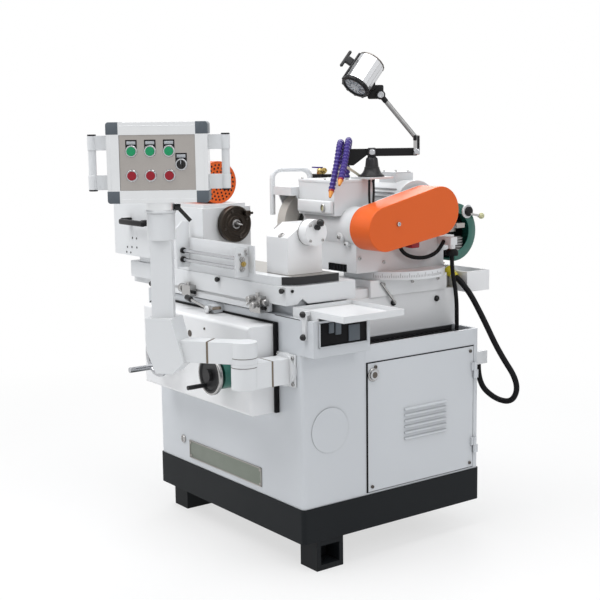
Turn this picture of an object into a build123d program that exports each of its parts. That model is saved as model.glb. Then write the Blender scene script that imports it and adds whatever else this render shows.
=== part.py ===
from build123d import *
import os
from math import atan2, cos, degrees, hypot, pi, radians, sin, tan

# Small cylindrical grinder on a three-point base, in millimetres.
# The origin is on the floor, midway between the two front anchor holes.
# +X runs along the work axis to the operator's right, +Y to the back and +Z up.

# Feet and plinth
FOOT_HEIGHT = 90.0
FOOT_LENGTH = 80.0
FOOT_DEPTH = 96.0
FOOT_SETBACK = 46.0
FOOT_WALL = 14.0
FOOT_PLATE = 16.0
ANCHOR_HOLE_DIAMETER = 18.0
PLINTH_HEIGHT = 102.0
PLINTH_WALL = 80.0
PLINTH_TOP = 30.0
PLINTH_PROUD = 3.0

# Bed casting
BED_LENGTH = 800.0
BED_DEPTH = 690.0
BODY_HEIGHT = 448.0
BODY_WALL = 30.0
BODY_CORNER_RADIUS = 12.0
UPPER_BED_DEPTH = 200.0
UPPER_BED_HEIGHT = 102.0
UPPER_BED_OVERHANG = 57.0
END_TROUGH_LENGTH = 127.0
END_TROUGH_WALL = 18.0
END_TROUGH_FLOOR = 32.0
SIDE_COVER_RADIUS = 66.0
SIDE_COVER_SETBACK = 97.0
SIDE_COVER_RISE = 220.0
SIDE_COVER_THICKNESS = 2.5

# Table ways on the bed
WAY_CLEARANCE = 0.3
TABLE_WAY_LENGTH = 656.0
TABLE_WAY_HEIGHT = 31.0
TABLE_WAY_WIDTH = 40.0
V_WAY_RISE = 16.0
V_WAY_SETBACK = 50.0
FLAT_WAY_SETBACK = 150.0

# Splash trays at the ends of the bed, with their stays
TRAY_WAY_GAP = 17.0
TRAY_LENGTH = 230.0
TRAY_SETBACK = 12.0
TRAY_DEPTH = 213.0
TRAY_RUNNER = 10.0
TRAY_RUNNER_WIDTH = 6.0
TRAY_RUNNER_SPACING = 170.0
TRAY_RIM_HEIGHT = 18.0
TRAY_RIM = 4.0
TRAY_FLOOR = 6.0
STAY_X = 420.0
STAY_WIDTH = 16.0
STAY_THICKNESS = 6.0
STAY_LENGTH = 80.0
STAY_BOSS_HEIGHT = 12.0
STAY_TOP_DROP = 2.0
STAY_BALL_RADIUS = 8.0

# Electrical cabinet, door and drip trough
CABINET_WIDTH = 250.0
CABINET_SETBACK = 228.0
CABINET_WALL = 8.0
TROUGH_WIDTH = 100.0
TROUGH_DEPTH = 40.0
TROUGH_RIM = 12.0
DOOR_FRONT_MARGIN = 10.0
DOOR_REAR_MARGIN = 26.0
DOOR_SILL = 8.0
DOOR_HEIGHT = 386.0
DOOR_THICKNESS = 16.0
DOOR_GAP = 3.0
DOOR_PROUD = 1.5
LOUVRE_COUNT = 6
LOUVRE_LENGTH = 170.0
LOUVRE_PITCH = 18.0
LOUVRE_RADIUS = 7.0
LOUVRE_SETBACK = 462.0
LOUVRE_RISE = 136.0
HINGE_BARREL_RADIUS = 6.0
HINGE_PIN_RADIUS = 3.0
HINGE_KNUCKLE_LENGTH = 25.0
HINGE_LEAF_WIDTH = 14.0
HINGE_RISES = (70.0, 310.0)
RUNNING_CLEARANCE = 0.05
LOCK_RADIUS = 15.0
LOCK_SHAFT_RADIUS = 6.0
LOCK_HEIGHT = 9.0
LOCK_INSET = 19.0
LOCK_DROP = 34.0
LOCK_TAIL_LENGTH = 34.0
LOCK_TAIL_THICKNESS = 5.0
FACE_CLEARANCE = 0.3

# Front apron and handwheels
APRON_LEFT = -325.0
APRON_RIGHT = 281.0
APRON_DEPTH = 96.0
APRON_DROP = 28.0
APRON_HEIGHT = 256.0
APRON_WALL = 14.0
APRON_CORNER_RADIUS = 10.0
TABLE_WHEEL_X = -159.0
TABLE_WHEEL_DROP = 138.0
TABLE_WHEEL_RADIUS = 68.0
TABLE_WHEEL_STANDOFF = 44.0
WHEEL_RIM_RADIUS = 7.0
WHEEL_RIM_ROUNDING = 5.0
WHEEL_HUB_RADIUS = 18.0
WHEEL_HUB_LENGTH = 30.0
WHEEL_SPOKE_RADIUS = 5.5
WHEEL_SPOKE_COUNT = 3
WHEEL_SPOKE_DISH = 10.0
WHEEL_SHAFT_RADIUS = 11.0
TABLE_GRIP_LENGTH = 78.0
TABLE_GRIP_RADIUS = 8.5
TABLE_GRIP_ANGLE = 227.0
CROSS_WHEEL_X = 168.0
CROSS_WHEEL_DROP = 145.0
CROSS_WHEEL_RADIUS = 56.0
CROSS_WHEEL_STANDOFF = 58.0
CROSS_DISH_THICKNESS = 6.0
CROSS_GRIP_LENGTH = 62.0
CROSS_GRIP_RADIUS = 6.5
CROSS_GRIP_ANGLE = 233.0
FEED_BOX_RADIUS = 45.0
FEED_BOX_LENGTH = 36.0

# Reversing lever on the front of the bed
LEVER_X = -13.0
LEVER_DROP = 15.0
LEVER_BRACKET_WIDTH = 38.0
LEVER_BRACKET_HEIGHT = 22.0
LEVER_BRACKET_DEPTH = 36.0
LEVER_HUB_RADIUS = 10.0
LEVER_HUB_LENGTH = 12.0
LEVER_PIN_RADIUS = 5.0
LEVER_ARM_LENGTH = 104.0
LEVER_ARM_RADIUS = 4.0
LEVER_ARM_ANGLE = 170.0
LEVER_KNOB_LENGTH = 26.0
LEVER_KNOB_RADIUS = 8.0
LEVER_TAIL_LENGTH = 64.0
LEVER_TAIL_ANGLE = 10.0

# Lower table with its front skirt and stop dogs
TABLE_LENGTH = 900.0
TABLE_OFFSET = -110.0
TABLE_DEPTH = 251.0
TABLE_OVERHANG = 8.0
TABLE_THICKNESS = 53.0
SKIRT_DROP = 27.0
SKIRT_THICKNESS = 16.0
SKIRT_LEFT_INSET = 220.0
SKIRT_RIGHT_INSET = 90.0
DOG_SLOT_WIDTH = 8.0
DOG_SLOT_DEPTH = 5.0
DOG_SLOT_RISE = 21.0
DOG_DEPTH = 22.0
DOG_CLEARANCE = 0.3
LEFT_DOG_X = -165.0
LEFT_DOG_LENGTH = 50.0
LEFT_DOG_HEIGHT = 34.0
RIGHT_DOG_INSET = 123.0
RIGHT_DOG_LENGTH = 54.0
RIGHT_DOG_HEIGHT = 48.0
DOG_SCREW_RADIUS = 6.0
DOG_SCREW_LENGTH = 9.0
SWIVEL_PIN_RADIUS = 15.0
SWIVEL_PIN_LENGTH = 22.0

# Swivel table, front splash wall and guide rods
SWIVEL_DEPTH = 190.0
SWIVEL_THICKNESS = 24.0
SWIVEL_OVERHANG = 4.0
SWIVEL_END_INSET = 4.0
SWIVEL_CORNER_RADIUS = 70.0
SWIVEL_CLEARANCE = 0.3
WALL_LEFT = -187.0
WALL_RIGHT = 179.0
WALL_HEIGHT = 80.0
WALL_THICKNESS = 5.0
BRACKET_REACH = 46.0
BRACKET_THICKNESS = 6.0
BRACKET_DROP = 12.0
LEFT_BRACKET_HEIGHT = 132.0
RIGHT_BRACKET_X = 146.0
RIGHT_BRACKET_HEIGHT = 76.0
GUIDE_ROD_RADIUS = 5.5
GUIDE_ROD_RISES = (13.0, 41.0)
GUIDE_ROD_REACH = 24.0
ROD_COLLAR_RADIUS = 9.0
ROD_COLLAR_LENGTH = 16.0

# Workhead at the left of the table
CENTRE_HEIGHT = 120.0
AXIS_SETBACK = 115.0
WORKHEAD_LEFT = -330.0
WORKHEAD_RIGHT = -115.0
WORKHEAD_FRONT_REACH = 107.0
WORKHEAD_REAR_REACH = 70.0
WORKHEAD_HEIGHT = 172.0
MOTOR_SEAT_THICKNESS = 10.0
MOTOR_SEAT_MARGIN = 12.0
COVER_LENGTH = 278.0
COVER_FRONT_REACH = 155.0
COVER_REAR_REACH = 85.0
COVER_HEIGHT = 192.0
COVER_WALL = 4.0
WORK_SPINDLE_RADIUS = 20.0
WORK_NOSE_RADIUS = 15.0
WORK_PULLEY_RADIUS = 58.0
WORK_PULLEY_WIDTH = 34.0
WORK_PULLEY_INSET = 40.0
FACEPLATE_RADIUS = 57.0
FACEPLATE_THICKNESS = 22.0
FACEPLATE_GAP = 4.0
FACEPLATE_HUB_RADIUS = 26.0
FACEPLATE_SLOT_WIDTH = 10.0
CENTRE_RADIUS = 11.0
CENTRE_LENGTH = 38.0
DRIVE_DOG_RADIUS = 42.0
DRIVE_DOG_ANGLE = 48.0
DRIVE_DOG_SIZE = 20.0
DRIVE_DOG_LENGTH = 18.0
WORK_MOTOR_RADIUS = 66.0
WORK_MOTOR_LENGTH = 170.0
WORK_MOTOR_INSET = 45.0
WORK_MOTOR_FOOT_WIDTH = 90.0
FAN_COVER_LENGTH = 46.0
FAN_COVER_STEP = 3.0

# Tailstock
TAIL_INSET = 158.0
TAIL_LENGTH = 103.0
TAIL_FRONT_REACH = 75.0
TAIL_REAR_REACH = 48.0
TAIL_TOP_RISE = 24.0
TAIL_SLOPE_DEPTH = 58.0
TAIL_SLOPE_DROP = 38.0
TAIL_CLEARANCE = 0.3
QUILL_RADIUS = 18.0
QUILL_PROTRUSION = 34.0
QUILL_POINT_LENGTH = 34.0
QUILL_TAIL_LENGTH = 14.0
TAIL_CAP_RADIUS = 38.0
TAIL_CAP_LENGTH = 38.0
TAIL_CAP_WALL = 6.0
TAIL_LEVER_RISE = 16.0
TAIL_LEVER_PIN_RADIUS = 4.0
TAIL_LEVER_HUB_RADIUS = 8.0
TAIL_LEVER_HUB_LENGTH = 10.0
TAIL_LEVER_ARM = 14.0
TAIL_BALL_RADIUS = 11.0

# Wheelhead pedestal and cross slide
PEDESTAL_WIDTH = 570.0
PEDESTAL_HEIGHT = 117.0
PEDESTAL_STEP_DEPTH = 58.0
PEDESTAL_STEP_DROP = 22.0
PEDESTAL_REAR_OVERHANG = 10.0
CROSS_WAY_WIDTH = 40.0
CROSS_WAY_HEIGHT = 28.0
CROSS_WAY_SPACING = 180.0
CROSS_WAY_X = 170.0
CROSS_WAY_REAR_INSET = 36.0
SLIDE_WIDTH = 244.0
SLIDE_FRONT_SETBACK = 340.0
SLIDE_DEPTH = 312.0
SLIDE_HEIGHT = 51.0
TAP_POST_WIDTH = 24.0
TAP_POST_HEIGHT = 46.0
TAP_POST_X = 240.0
TAP_REAR_INSET = 4.0
REAR_SHELF_LEFT = 150.0
REAR_SHELF_RIGHT = 335.0
REAR_SHELF_DEPTH = 98.0
REAR_SHELF_HEIGHT = 64.0
REAR_SHELF_SUNK = 12.0
REAR_SHELF_WALL = 5.0

# Wheelhead casting
HEAD_SETBACK = 325.0
HEAD_SWIVEL_X = 210.0
HEAD_SWIVEL_SETBACK = 505.0
HEAD_SWIVEL_RADIUS = 158.0
HEAD_SWIVEL_HEIGHT = 26.0
HEAD_SWIVEL_CLEARANCE = 0.3
HEAD_PIVOT_RADIUS = 25.0
HEAD_PIVOT_LENGTH = 20.0
HEAD_LEFT = 85.0
HEAD_RIGHT = 290.0
HEAD_FRONT_SETBACK = 288.0
HEAD_REAR_SETBACK = 640.0
BARREL_LEFT = 58.0
BARREL_RADIUS = 60.0
GLAND_BRACKET_LENGTH = 62.0
GLAND_BRACKET_WIDTH = 28.0
GLAND_BRACKET_HEIGHT = 25.0
SPINDLE_BOX_RIGHT = 235.0
SPINDLE_BOX_FRONT_REACH = 75.0
SPINDLE_BOX_REAR_REACH = 75.0
SPINDLE_BOX_RISE = 140.0
SPINDLE_BOX_FOOT = 34.0
LAMP_PLATE_SIZE = 92.0
LAMP_PLATE_THICKNESS = 6.0
LAMP_SPIGOT_RADIUS = 9.0
LAMP_SPIGOT_LENGTH = 16.0
GUARD_BACK_THICKNESS = 5.0

# Grinding wheel and its spindle
WHEEL_RADIUS = 100.0
WHEEL_WIDTH = 40.0
WHEEL_LEFT = -24.0
WHEEL_BORE_RADIUS = 38.0
WHEEL_FLANGE_RADIUS = 52.0
WHEEL_FLANGE_THICKNESS = 6.0
SPINDLE_RADIUS = 26.0
SPINDLE_NOSE_RADIUS = 14.0
SPINDLE_NOSE_LENGTH = 12.0
SPINDLE_PULLEY_RADIUS = 44.0
PULLEY_WIDTH = 40.0
PULLEY_GAP = 6.0

# Wheel guard with its pipe rail
GUARD_SIDE_GAP = 10.0
GUARD_WALL = 5.0
GUARD_RIM_GAP = 10.0
GUARD_LIP_HEIGHT = 26.0
GUARD_LIP_REACH = 4.0
GUARD_EDGE_TOP = 84.0
GUARD_EDGE_BOTTOM = -10.0
GUARD_SPINDLE_HOLE = 34.0
GUARD_SEAT_HEIGHT = 24.0
RAIL_RADIUS = 8.5
RAIL_FRONT_INSET = 6.0
RAIL_LOW_RISE = 26.0
RAIL_HEIGHT = 52.0
RAIL_RUN = 114.0
RAIL_SIDESTEP = 46.0
RAIL_BEND_RADIUS = 30.0
RAIL_SINK = 2.0

# Belt guard, pulleys, belts and wheel motor
MOTOR_SETBACK = 540.0
MOTOR_RISE = 42.0
MOTOR_RADIUS = 88.0
MOTOR_LENGTH = 190.0
MOTOR_FRAME_GAP = 16.0
MOTOR_FOOT_WIDTH = 130.0
MOTOR_BOX_LENGTH = 80.0
MOTOR_BOX_WIDTH = 70.0
MOTOR_BOX_HEIGHT = 22.0
MOTOR_SHAFT_RADIUS = 14.0
MOTOR_PULLEY_RADIUS = 52.0
BELT_GUARD_DEPTH = 90.0
BELT_GUARD_WALL = 3.0
BELT_GUARD_FRONT_RADIUS = 66.0
BELT_GUARD_REAR_RADIUS = 74.0
BELT_GUARD_EDGE_RADIUS = 2.4
BELT_THICKNESS = 7.0
BELT_WIDTH = 10.0
BELT_COUNT = 2
BELT_GAP = 0.4

# Green drum guard behind the wheelhead
DRUM_SETBACK = 690.0
DRUM_DROP = 38.0
DRUM_RADIUS = 92.0
DRUM_WALL = 6.0
DRUM_LEFT = 225.0
DRUM_WIDTH = 60.0
DRUM_ARM_HEIGHT = 46.0

# Coolant block, tap lever and jointed nozzles
BLOCK_WIDTH = 66.0
BLOCK_DEPTH = 40.0
BLOCK_HEIGHT = 34.0
BLOCK_LEFT = -22.0
BLOCK_SETBACK = 352.0
VALVE_RADIUS = 9.0
VALVE_HEIGHT = 18.0
VALVE_LEVER_LENGTH = 40.0
VALVE_LEVER_WIDTH = 10.0
VALVE_LEVER_THICKNESS = 4.0
VALVE_STEM_RADIUS = 3.0
BEAD_RADIUS = 9.4
BEAD_LENGTH = 9.0
BEAD_PITCH = 13.5
BEAD_CORE_RADIUS = 6.6
NOZZLE_LENGTH = 20.0
NOZZLE_TIP_RADIUS = 3.0
HOSE_BASES = ((106.0, 374.0), (128.0, 384.0))
HOSE_CREST = ((60.0, -44.0, 113.0), (64.0, -34.0, 105.0))
HOSE_DROP = ((106.0, -122.0, 26.0), (108.0, -114.0, 46.0))
HOSE_TIP = ((116.0, -154.0, -26.0), (128.0, -150.0, 6.0))

# Work lamp
LAMP_YAW = 53.7
LAMP_X = 229.0
LAMP_SETBACK = 400.0
LAMP_BASE_RADIUS = 38.0
LAMP_BASE_HEIGHT = 40.0
LAMP_NECK_RADIUS = 13.0
LAMP_PIVOT_RISE = 74.0
LAMP_TONGUE = 14.0
LAMP_PIN_RADIUS = 5.0
LAMP_ARM_THICKNESS = 9.0
LAMP_ARM_REACH = 135.0
LAMP_ARM_TAIL = 88.0
LAMP_ARM_HEIGHT = 20.0
LAMP_TAIL_DROP = 40.0
LAMP_TAPER_REACH = 55.0
LAMP_LINK_HEIGHT = 48.0
LAMP_LINK_WIDTH = 18.0
LAMP_ROD_RADIUS = 5.5
LAMP_ROD_BACK = 108.0
LAMP_ROD_RISE = 170.0
LAMP_HEAD_RADIUS = 43.0
LAMP_HEAD_LENGTH = 104.0
LAMP_HEAD_BACK = 51.0
LAMP_HEAD_RISE = 61.0
LAMP_HEAD_LEAN = 35.0
LAMP_HEAD_TILT = 24.0
LAMP_EAR_THICKNESS = 9.0
LAMP_STALK_RADIUS = 4.0

# Pendant arm
PENDANT_X = 330.0
PENDANT_DROP = 150.0
PENDANT_REACH = 145.0
PENDANT_FLANGE_RADIUS = 48.0
PENDANT_FLANGE_THICKNESS = 14.0
PENDANT_ARM_WIDTH = 60.0
PENDANT_ARM_HEIGHT = 72.0
PENDANT_SWIVEL_RADIUS = 37.0
PENDANT_PIN_RADIUS = 15.0
PENDANT_PIN_LENGTH = 44.0
UPPER_ARM_LENGTH = 236.0
UPPER_ARM_ANGLE = 216.4
UPPER_ARM_HEIGHT = 60.0
UPPER_ARM_WIDTH = 56.0
ELBOW_WIDTH = 78.0
ELBOW_DROP = 34.0
ELBOW_RISE = 62.0
ELBOW_CHAMFER = 26.0
COLUMN_WIDTH = 60.0
COLUMN_HEIGHT = 216.0
NECK_RADIUS = 39.0
NECK_HEIGHT = 74.0

# Pendant control panel
PANEL_YAW = 53.7
PANEL_WIDTH = 274.0
PANEL_HEIGHT = 218.0
PANEL_DEPTH = 88.0
PANEL_FRAME = 34.0
PANEL_WALL = 6.0
PANEL_RECESS = 6.0
PANEL_CORNER_RADIUS = 8.0
PANEL_FLANGE_HEIGHT = 30.0
FACE_THICKNESS = 3.0
FACE_FIT = 0.5
BUTTON_RADIUS = 12.0
BUTTON_HEIGHT = 10.0
BUTTON_STEM_RADIUS = 8.0
BUTTON_STEM_LENGTH = 26.0
BUTTON_CLEARANCE = 0.4
BEZEL_RADIUS = 15.5
BEZEL_HEIGHT = 4.0
BUTTON_COLUMNS = (-70.0, -19.0, 32.0)
GREEN_ROW_RISE = 31.0
RED_ROW_RISE = -35.0
SELECTOR_REACH = 64.5
SELECTOR_RISE = -5.6
SELECTOR_BAR_WIDTH = 8.0
SELECTOR_BAR_HEIGHT = 9.0
HANDLE_TUBE_RADIUS = 11.0
HANDLE_LENGTH = 148.0
HANDLE_REACH = 46.0
HANDLE_BRACKET_HEIGHT = 40.0
HANDLE_BRACKET_THICKNESS = 16.0
CLAMP_HUB_RADIUS = 9.0
CLAMP_HUB_LENGTH = 16.0
CLAMP_PIN_RADIUS = 4.0
CLAMP_PIN_LENGTH = 12.0
CLAMP_ARM_LENGTH = 52.0
CLAMP_ARM_RADIUS = 5.5
CLAMP_ARM_LEAN = 48.0

# Conduit from the bed to the wheelhead, and the hanging hose
CONDUIT_RADIUS = 6.5
CONDUIT_OFFSET = 4.0
CONDUIT_REAR_INSET = 40.0
CONDUIT_DROP = 84.0
CONDUIT_LEAD = 60.0
BEND_SHARE = 0.45
CONDUIT_BOW = 5.0
GLAND_RADIUS = 11.0
GLAND_HEIGHT = 14.0
HOSE_RADIUS = 9.0
COUPLING_RADIUS = 13.0
COUPLING_TILT = 28.0
COUPLING_LENGTH = 34.0
TAP_RADIUS = 10.0
TAP_LENGTH = 44.0
HOSE_LEAD = 62.0
HOSE_FALL = ((106.0, 22.0, -123.0), (150.0, 50.0, -231.0), (209.0, 80.0, -325.0))
HOSE_RETURN = ((113.0, 42.0, -115.0), (47.0, 30.0, -115.0), (0.0, 0.0, -65.0))
HOSE_ANCHOR_X = 365.0
HOSE_ANCHOR_REACH = 32.0
HOSE_ANCHOR_RISE = 328.0
HOSE_ANCHOR_SIZE = 40.0

# Places that follow from the sizes above
BED_FRONT = -(FOOT_SETBACK + FOOT_DEPTH / 2)
BED_REAR = BED_FRONT + BED_DEPTH
BED_HALF = BED_LENGTH / 2
BED_BASE = FOOT_HEIGHT + PLINTH_HEIGHT
BODY_TOP = BED_BASE + BODY_HEIGHT
BED_TOP = BODY_TOP + UPPER_BED_HEIGHT
WAY_TOP = BED_TOP + TABLE_WAY_HEIGHT
TABLE_BOTTOM = WAY_TOP + WAY_CLEARANCE
TABLE_TOP = TABLE_BOTTOM + TABLE_THICKNESS
TABLE_LEFT = TABLE_OFFSET - TABLE_LENGTH / 2
TABLE_RIGHT = TABLE_OFFSET + TABLE_LENGTH / 2
TABLE_FRONT = BED_FRONT - TABLE_OVERHANG
RIGHT_DOG_X = TABLE_RIGHT - RIGHT_DOG_INSET
TAIL_LEFT = TABLE_RIGHT - TAIL_INSET
SWIVEL_BOTTOM = TABLE_TOP + SWIVEL_CLEARANCE
SWIVEL_TOP = SWIVEL_BOTTOM + SWIVEL_THICKNESS
SWIVEL_FRONT = BED_FRONT - SWIVEL_OVERHANG
AXIS_Y = BED_FRONT + AXIS_SETBACK
AXIS_Z = SWIVEL_TOP + CENTRE_HEIGHT
PEDESTAL_FRONT = BED_FRONT + UPPER_BED_DEPTH
PEDESTAL_REAR = BED_REAR + PEDESTAL_REAR_OVERHANG
PEDESTAL_TOP = BODY_TOP + PEDESTAL_HEIGHT
SLIDE_BOTTOM = PEDESTAL_TOP + WAY_CLEARANCE
SLIDE_TOP = SLIDE_BOTTOM + SLIDE_HEIGHT
SLIDE_FRONT = BED_FRONT + SLIDE_FRONT_SETBACK
SLIDE_REAR = SLIDE_FRONT + SLIDE_DEPTH
HEAD_Y = BED_FRONT + HEAD_SETBACK
HEAD_PIVOT_Y = BED_FRONT + HEAD_SWIVEL_SETBACK
HEAD_BOTTOM = SLIDE_TOP + HEAD_SWIVEL_CLEARANCE
HEAD_DISC_TOP = HEAD_BOTTOM + HEAD_SWIVEL_HEIGHT
MOTOR_Y = BED_FRONT + MOTOR_SETBACK
MOTOR_Z = AXIS_Z + MOTOR_RISE
BACK_PLATE_LEFT = HEAD_RIGHT
BACK_PLATE_RIGHT = HEAD_RIGHT + GUARD_BACK_THICKNESS
GUARD_LEFT = WHEEL_LEFT - GUARD_SIDE_GAP - GUARD_WALL
GUARD_OUTER = WHEEL_RADIUS + GUARD_RIM_GAP + GUARD_WALL
GUARD_TOP = AXIS_Z + GUARD_OUTER
SPINDLE_BOX_TOP = AXIS_Z + SPINDLE_BOX_RISE
LAMP_SEAT = SPINDLE_BOX_TOP + LAMP_PLATE_THICKNESS
LAMP_Y = BED_FRONT + LAMP_SETBACK
PENDANT_Z = BED_TOP - PENDANT_DROP
PENDANT_SWIVEL_Y = BED_FRONT - PENDANT_REACH
COLUMN_X = PENDANT_X + UPPER_ARM_LENGTH * cos(radians(UPPER_ARM_ANGLE))
COLUMN_Y = PENDANT_SWIVEL_Y + UPPER_ARM_LENGTH * sin(radians(UPPER_ARM_ANGLE))
UPPER_ARM_BOTTOM = PENDANT_Z + PENDANT_ARM_HEIGHT / 2 + FACE_CLEARANCE
COLUMN_FOOT = UPPER_ARM_BOTTOM + UPPER_ARM_HEIGHT + ELBOW_RISE
NECK_BOTTOM = COLUMN_FOOT + COLUMN_HEIGHT
NECK_TOP = NECK_BOTTOM + NECK_HEIGHT
PANEL_FLANGE_BOTTOM = NECK_TOP + FACE_CLEARANCE
PANEL_BOTTOM = PANEL_FLANGE_BOTTOM + PANEL_FLANGE_HEIGHT
PANEL_MIDDLE = PANEL_BOTTOM + PANEL_HEIGHT / 2
APRON_FRONT = BED_FRONT - APRON_DEPTH
APRON_TOP = BED_TOP - APRON_DROP
TABLE_WHEEL_Z = APRON_TOP - TABLE_WHEEL_DROP
CROSS_WHEEL_Z = APRON_TOP - CROSS_WHEEL_DROP
CABINET_LEFT = BED_HALF - CABINET_WIDTH
CABINET_FRONT = BED_FRONT + CABINET_SETBACK
DOOR_FRONT = CABINET_FRONT + DOOR_FRONT_MARGIN
DOOR_REAR = BED_REAR - DOOR_REAR_MARGIN
DOOR_BOTTOM = BED_BASE + DOOR_SILL
DOOR_TOP = DOOR_BOTTOM + DOOR_HEIGHT
DOOR_FACE = BED_HALF + DOOR_PROUD
HINGE_X = DOOR_FACE + HINGE_BARREL_RADIUS + FACE_CLEARANCE
HINGE_Y = DOOR_REAR + DOOR_GAP
TRAY_START = TABLE_WAY_LENGTH / 2 + TRAY_WAY_GAP
TRAY_TOP = BED_TOP + TRAY_RUNNER + TRAY_RIM_HEIGHT
DRUM_Y = BED_FRONT + DRUM_SETBACK
DRUM_Z = AXIS_Z - DRUM_DROP
TAP_Y = PEDESTAL_REAR - TAP_POST_WIDTH / 2 - TAP_REAR_INSET
TAP_Z = PEDESTAL_TOP + TAP_POST_HEIGHT + TAP_RADIUS
CONDUIT_X = BED_HALF - TROUGH_RIM - TROUGH_WIDTH / 2 + CONDUIT_OFFSET
CONDUIT_Y = BED_REAR - CONDUIT_REAR_INSET
CONDUIT_FLOOR = BODY_TOP - TROUGH_DEPTH
CONDUIT_TOP = AXIS_Z - CONDUIT_DROP


def block(x, y, z):
    """Box between the low and high value of each axis."""
    size = (x[1] - x[0], y[1] - y[0], z[1] - z[0])
    middle = ((x[0] + x[1]) / 2, (y[0] + y[1]) / 2, (z[0] + z[1]) / 2)
    return Pos(*middle) * Box(*size)


def bar_x(x, y, z, radius):
    """Round bar along X."""
    return Pos((x[0] + x[1]) / 2, y, z) * Rot(0, 90, 0) * Cylinder(radius, x[1] - x[0])


def bar_y(x, y, z, radius):
    """Round bar along Y."""
    return Pos(x, (y[0] + y[1]) / 2, z) * Rot(90, 0, 0) * Cylinder(radius, y[1] - y[0])


def bar_z(x, y, z, radius):
    """Round bar along Z."""
    return Pos(x, y, (z[0] + z[1]) / 2) * Cylinder(radius, z[1] - z[0])


def bar_between(start, end, radius):
    """Round bar from one point to another."""
    start, end = Vector(*start), Vector(*end)
    run = end - start
    plane = Plane(origin=(start + end) / 2, z_dir=run)
    return plane * Cylinder(radius, run.length)


def cone_x(x, y, z, base, tip):
    """Cone along X, from radius base at the first x to radius tip at the second."""
    turn = 90 if x[1] > x[0] else -90
    return Pos((x[0] + x[1]) / 2, y, z) * Rot(0, turn, 0) * Cone(base, tip, abs(x[1] - x[0]))


def slab_x(points, x):
    """Outline of (y, z) points, extruded between two x values."""
    outline = make_face(Polyline(*[(y, z) for y, z in points], close=True))
    plane = Plane(origin=(x[0], 0, 0), x_dir=(0, 1, 0), z_dir=(1, 0, 0))
    return extrude(plane * outline, x[1] - x[0])


def slab_y(points, y):
    """Outline of (x, z) points, extruded between two y values."""
    outline = make_face(Polyline(*[(x, z) for x, z in points], close=True))
    plane = Plane(origin=(0, y[1], 0), x_dir=(1, 0, 0), z_dir=(0, -1, 0))
    return extrude(plane * outline, y[1] - y[0])


def cord_path(points):
    """Straight runs joined by the largest tangent arcs that they leave room for."""
    radii = []
    for before, here, after in zip(points, points[1:], points[2:]):
        first = Vector(*here) - Vector(*before)
        second = Vector(*after) - Vector(*here)
        turn = first.get_angle(second)
        shorter = min(first.length, second.length)
        radii.append(BEND_SHARE * shorter / tan(radians(turn) / 2))
    print("bend radii", [round(radius, 1) for radius in radii])
    return FilletPolyline(*points, radius=radii)


def cord_tube(points, radius):
    """Round tube along a cord's route."""
    path = cord_path(points)
    start = Plane(origin=path @ 0, z_dir=path % 0)
    tube = sweep(start * Circle(radius), path=path)
    share = tube.volume / (path.length * pi * radius**2)
    print("cord length", round(path.length, 1), "volume share", round(share, 4))
    return tube


def bent_pipe(points, radius, bend):
    """Round tube along straight runs with one bend radius."""
    path = FilletPolyline(*points, radius=bend)
    start = Plane(origin=path @ 0, z_dir=path % 0)
    return sweep(start * Circle(radius), path=path)


def foot(x, y, open_side):
    """Hollow cast foot with one anchor hole, open towards +X, -X or +Y."""
    body = block(
        (x - FOOT_LENGTH / 2, x + FOOT_LENGTH / 2),
        (y - FOOT_DEPTH / 2, y + FOOT_DEPTH / 2),
        (0, FOOT_HEIGHT),
    )
    reach_x = FOOT_LENGTH / 2 - FOOT_WALL
    reach_y = FOOT_DEPTH / 2 - FOOT_WALL
    shift_x = FOOT_WALL * open_side[0]
    shift_y = FOOT_WALL * open_side[1]
    pocket = block(
        (x - reach_x + min(shift_x, 0), x + reach_x + max(shift_x, 0)),
        (y - reach_y, y + reach_y + shift_y),
        (FOOT_PLATE, FOOT_HEIGHT - FOOT_PLATE),
    )
    hole = bar_z(x, y, (0, FOOT_PLATE), ANCHOR_HOLE_DIAMETER / 2)
    return body - pocket - hole


def support_feet():
    """Two front feet and one at the middle of the back."""
    reach = BED_HALF - FOOT_LENGTH / 2
    rear = BED_REAR - FOOT_SETBACK - FOOT_DEPTH / 2
    feet = [foot(reach, 0, (1, 0)), foot(-reach, 0, (-1, 0)), foot(0, rear, (0, 1))]
    return Compound(children=feet)


def base_plinth():
    """Dark plinth, hollow from below."""
    outer = block(
        (-BED_HALF - PLINTH_PROUD, BED_HALF + PLINTH_PROUD),
        (BED_FRONT - PLINTH_PROUD, BED_REAR + PLINTH_PROUD),
        (FOOT_HEIGHT, BED_BASE),
    )
    outer = fillet(outer.edges().filter_by(Axis.Z), BODY_CORNER_RADIUS)
    pocket = block(
        (-BED_HALF + PLINTH_WALL, BED_HALF - PLINTH_WALL),
        (BED_FRONT + PLINTH_WALL, BED_REAR - PLINTH_WALL - FOOT_DEPTH),
        (FOOT_HEIGHT, BED_BASE - PLINTH_TOP),
    )
    return outer - pocket


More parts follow.
